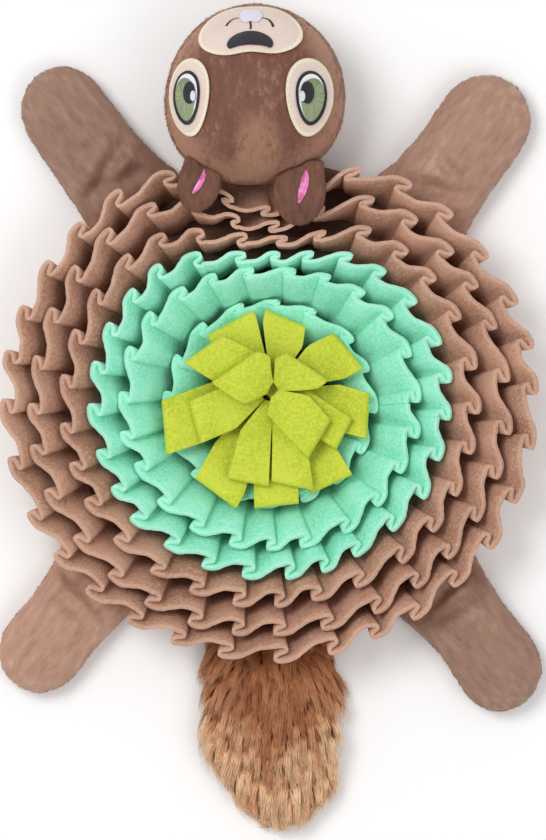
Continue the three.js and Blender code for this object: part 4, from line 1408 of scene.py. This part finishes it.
# %% The tree that plants locks along a flow
def planting_tree():
    """Plants a lock at scattered points. Bare is an object that nothing grows near."""
    sizes = {
        "Density": 100000.0,
        "Lean": 0.3,
        "Wild": 0.2,
        "Small": 0.7,
        "Large": 1.2,
        "Source": FUR_SOURCE,
        "Clear": 0.0,
        "Lowest": 0.0,
        "Steep": 2.0,
        "Lock": THREAD,
        "Bare": THREAD,
        "Coat": FUR,
    }
    tree, size, entry, end = geometry_tree("planting", **sizes)
    here = tree.nodes.new("GeometryNodeInputPosition").outputs[0]
    bare = add_node(tree, "GeometryNodeObjectInfo", {"Object": size["Bare"]}).outputs["Geometry"]
    nearest = add_node(tree, "GeometryNodeProximity", {0: bare}, target_element="FACES")
    height = split(tree, here)[2]
    upward = split(tree, tree.nodes.new("GeometryNodeInputNormal").outputs[0])[2]
    open_skin = Field(tree, nearest.outputs["Distance"]).math("GREATER_THAN", size["Clear"])
    open_skin = open_skin * height.math("GREATER_THAN", size["Lowest"])
    open_skin = open_skin * upward.math("LESS_THAN", size["Steep"])
    given = {"Mesh": entry.outputs["Geometry"], "Density": size["Density"], "Seed": 7}
    spots = add_node(tree, "GeometryNodeDistributePointsOnFaces", {**given, "Selection": open_skin})
    normal = spots.outputs["Normal"]

    def scaled(value, factor):
        given = {0: value, "Scale": factor}
        return add_node(tree, "ShaderNodeVectorMath", given, operation="SCALE").outputs[0]

    flow = vector_math(tree, "NORMALIZE", vector_math(tree, "SUBTRACT", here, size["Source"]))
    into = Field(tree, vector_math(tree, "DOT_PRODUCT", flow, normal, output=1))
    level = vector_math(tree, "SUBTRACT", flow, scaled(normal, into))
    flat = vector_math(tree, "NORMALIZE", level)
    given = {"Min": (-1, -1, -1), "Max": (1, 1, 1)}
    stray = add_node(tree, "FunctionNodeRandomValue", given, data_type="FLOAT_VECTOR")
    lying = vector_math(tree, "ADD", scaled(flat, -size["Lean"] + 1.0), scaled(normal, size["Lean"]))
    heading = vector_math(tree, "ADD", lying, scaled(stray.outputs[0], size["Wild"]))
    axes = {"Primary Axis": heading, "Secondary Axis": normal}
    facing = add_node(tree, "FunctionNodeAxesToRotation", axes, primary_axis="Y", secondary_axis="Z")
    shape = add_node(tree, "GeometryNodeObjectInfo", {"Object": size["Lock"]})
    scale = tree.nodes.new("FunctionNodeRandomValue")
    plug(tree, size["Small"], scale.inputs[2])
    plug(tree, size["Large"], scale.inputs[3])
    inputs = {
        "Points": spots.outputs["Points"],
        "Instance": shape.outputs["Geometry"],
        "Rotation": facing.outputs[0],
        "Scale": scale.outputs[1],
    }
    planted = add_node(tree, "GeometryNodeInstanceOnPoints", inputs)
    clump = noise_field(tree, here, 90.0, 2.0)
    chance = tree.nodes.new("FunctionNodeRandomValue").outputs[1]
    tone = between(tree, clump * 0.7 + Field(tree, chance) * 0.3, 0.3, 0.75)
    kept = {"Geometry": planted.outputs[0], "Name": "tone", "Value": tone}
    toned = add_node(tree, "GeometryNodeStoreNamedAttribute", kept, domain="INSTANCE")
    end_tree(tree, end, toned.outputs[0], size["Coat"])
    return tree


PLANTING = planting_tree()


def plant(name, skin, slot, **sizes):
    """Hair of its own piece over a skin, which is left as it is."""
    piece = bpy.data.objects.new(name, skin.data.copy())
    bpy.context.scene.collection.objects.link(piece)
    add_tree(piece, PLANTING, **sizes)
    settle(piece)
    points = corners_of(piece)
    points[:, 2] = np.maximum(points[:, 2], 0.3 * MM)
    move_corners(piece, points)
    dress(piece, slot)
    print(name, triangles(piece), "triangles")
    return piece


TAIL_COATS = row_dicts(
    "name lock Density Lean Wild Small Large",
    [
        ("tail_fur_under", UNDER_LOCK, 88000.0, 0.3, 0.16, 0.7, 1.05),
        ("tail_fur_over", OVER_LOCK, 64000.0, 0.2, 0.13, 0.75, 1.15),
    ],
)


def make_tail():
    body = sheet_mesh("tail_skin", tail_grid(), FUR, closed=True)
    modify(body, "WELD", merge_threshold=0.01 * MM)
    settle(body)
    dress(body, "fur", "tail")
    for coat in TAIL_COATS:
        lock = lock_mesh(coat["name"] + "_lock", **coat["lock"])
        given = {key: value for key, value in coat.items() if key not in ("name", "lock")}
        given.update({"Lock": lock, "Bare": THREAD, "Lowest": 1.5 * MM, "Coat": FUR})
        plant(coat["name"], body, "fur", **given)
        bpy.data.objects.remove(lock)


make_tail()

# %% [markdown]
# Plush has a pile of a millimetre or two. On top it reads as streaks and a bump, and single strands there
# would look like dark specks. So the same tree plants short strands only where the skin of the head, the
# limbs and the ears turns down and away. They lie along the way the pile is brushed, keep clear of the
# felt, and make the outline soft.

# %% The short pile
PILE_COAT = {"Density": 420000.0, "Lean": 0.3, "Wild": 0.3}
PILE_COAT.update({"Steep": 0.3, "Clear": 1.2 * MM, "Lowest": 4.0 * MM})
# The places that each pile is brushed away from.
BRUSHED_FROM = {"head": (-9, 260, 60), "ear_left": (-12, 190, 60), "ear_right": (-12, 190, 60)}
BRUSHED_FROM.update({limb["name"]: (*limb_spot(limb, -0.6), 10) for limb in LIMBS})


def joined_copy(name, pieces):
    points, faces = [], []
    for piece in pieces:
        first = len(points)
        points += [vertex.co.copy() for vertex in piece.data.vertices]
        faces += [[first + corner for corner in polygon.vertices] for polygon in piece.data.polygons]
    return add_mesh(name, points, faces)


def make_pile():
    blade = lock_mesh("pile_lock", **PILE_LOCK, stations=(0.0,))
    bare = joined_copy("felt_outline", FELTS)
    for cover in [HEAD_COVER, *LIMB_COVERS, *EAR_COVERS]:
        node = piece_node(cover)
        source = tuple(place * MM for place in BRUSHED_FROM[node])
        given = {"Source": source, "Coat": cover.data.materials[0], "Lock": blade, "Bare": bare}
        plant(node + "_pile", cover, "plush", **PILE_COAT, **given)
    bpy.data.objects.remove(blade)
    bpy.data.objects.remove(bare)


make_pile()
bpy.data.objects.remove(THREAD)

# %% [markdown]
# ## Camera, light and floor
# The photograph looks straight down on the toy from far away, with its head at the top. A long lens from
# four metres does the same. Two broad lamps and a bright world give the soft shadows of a studio, and the
# floor is pale.

# %% Camera and studio
# What the picture shows from top to bottom, and where its middle is, in millimetres.
PHOTO_HEIGHT = 479.6
PHOTO_MIDDLE = (1.7, -9.7)
CAMERA_HEIGHT = 4000.0
LOOK_HEIGHT = 40.0
SENSOR = 36.0
LAMPS = row_dicts(
    "name place size power",
    [("key", (-0.7, 0.5, 1.6), 0.9, 14), ("fill", (0.9, -0.6, 1.5), 1.2, 6)],
)
FLOOR = {"half": 3.0, "down": 0.4 * MM}
WORLD_STRENGTH = 0.62


def add_camera():
    data = bpy.data.cameras.new("camera")
    data.sensor_width = SENSOR
    data.lens = SENSOR * (CAMERA_HEIGHT - LOOK_HEIGHT) / PHOTO_HEIGHT
    data.clip_end = 20
    camera = bpy.data.objects.new("camera", data)
    camera.location = (PHOTO_MIDDLE[0] * MM, PHOTO_MIDDLE[1] * MM, CAMERA_HEIGHT * MM)
    bpy.context.scene.collection.objects.link(camera)
    bpy.context.scene.camera = camera


def add_lamp(name, place, size, power):
    data = bpy.data.lights.new(name, "AREA")
    data.shape = "DISK"
    data.size = size
    data.energy = power
    lamp = bpy.data.objects.new(name, data)
    lamp.location = place
    lamp.rotation_euler = (-Vector(place)).to_track_quat("-Z", "Y").to_euler()
    bpy.context.scene.collection.objects.link(lamp)


def add_floor():
    half, low = FLOOR["half"], -FLOOR["down"]
    corners = [(-half, -half, low), (half, -half, low), (half, half, low), (-half, half, low)]
    floor = add_mesh("floor", corners, [(0, 1, 2, 3)])
    material, _, shader = material_with("paper", 0.9)
    shader.inputs["Base Color"].default_value = shade(250, 250, 250)
    floor.data.materials.append(material)


def light_world(strength):
    world = bpy.data.worlds.new("studio")
    world.use_nodes = True
    world.node_tree.nodes["Background"].inputs["Color"].default_value = (1, 1, 1, 1)
    world.node_tree.nodes["Background"].inputs["Strength"].default_value = strength
    bpy.context.scene.world = world


add_camera()
for lamp in LAMPS:
    add_lamp(**lamp)
add_floor()
light_world(WORLD_STRENGTH)
bpy.context.scene.view_settings.view_transform = "Standard"
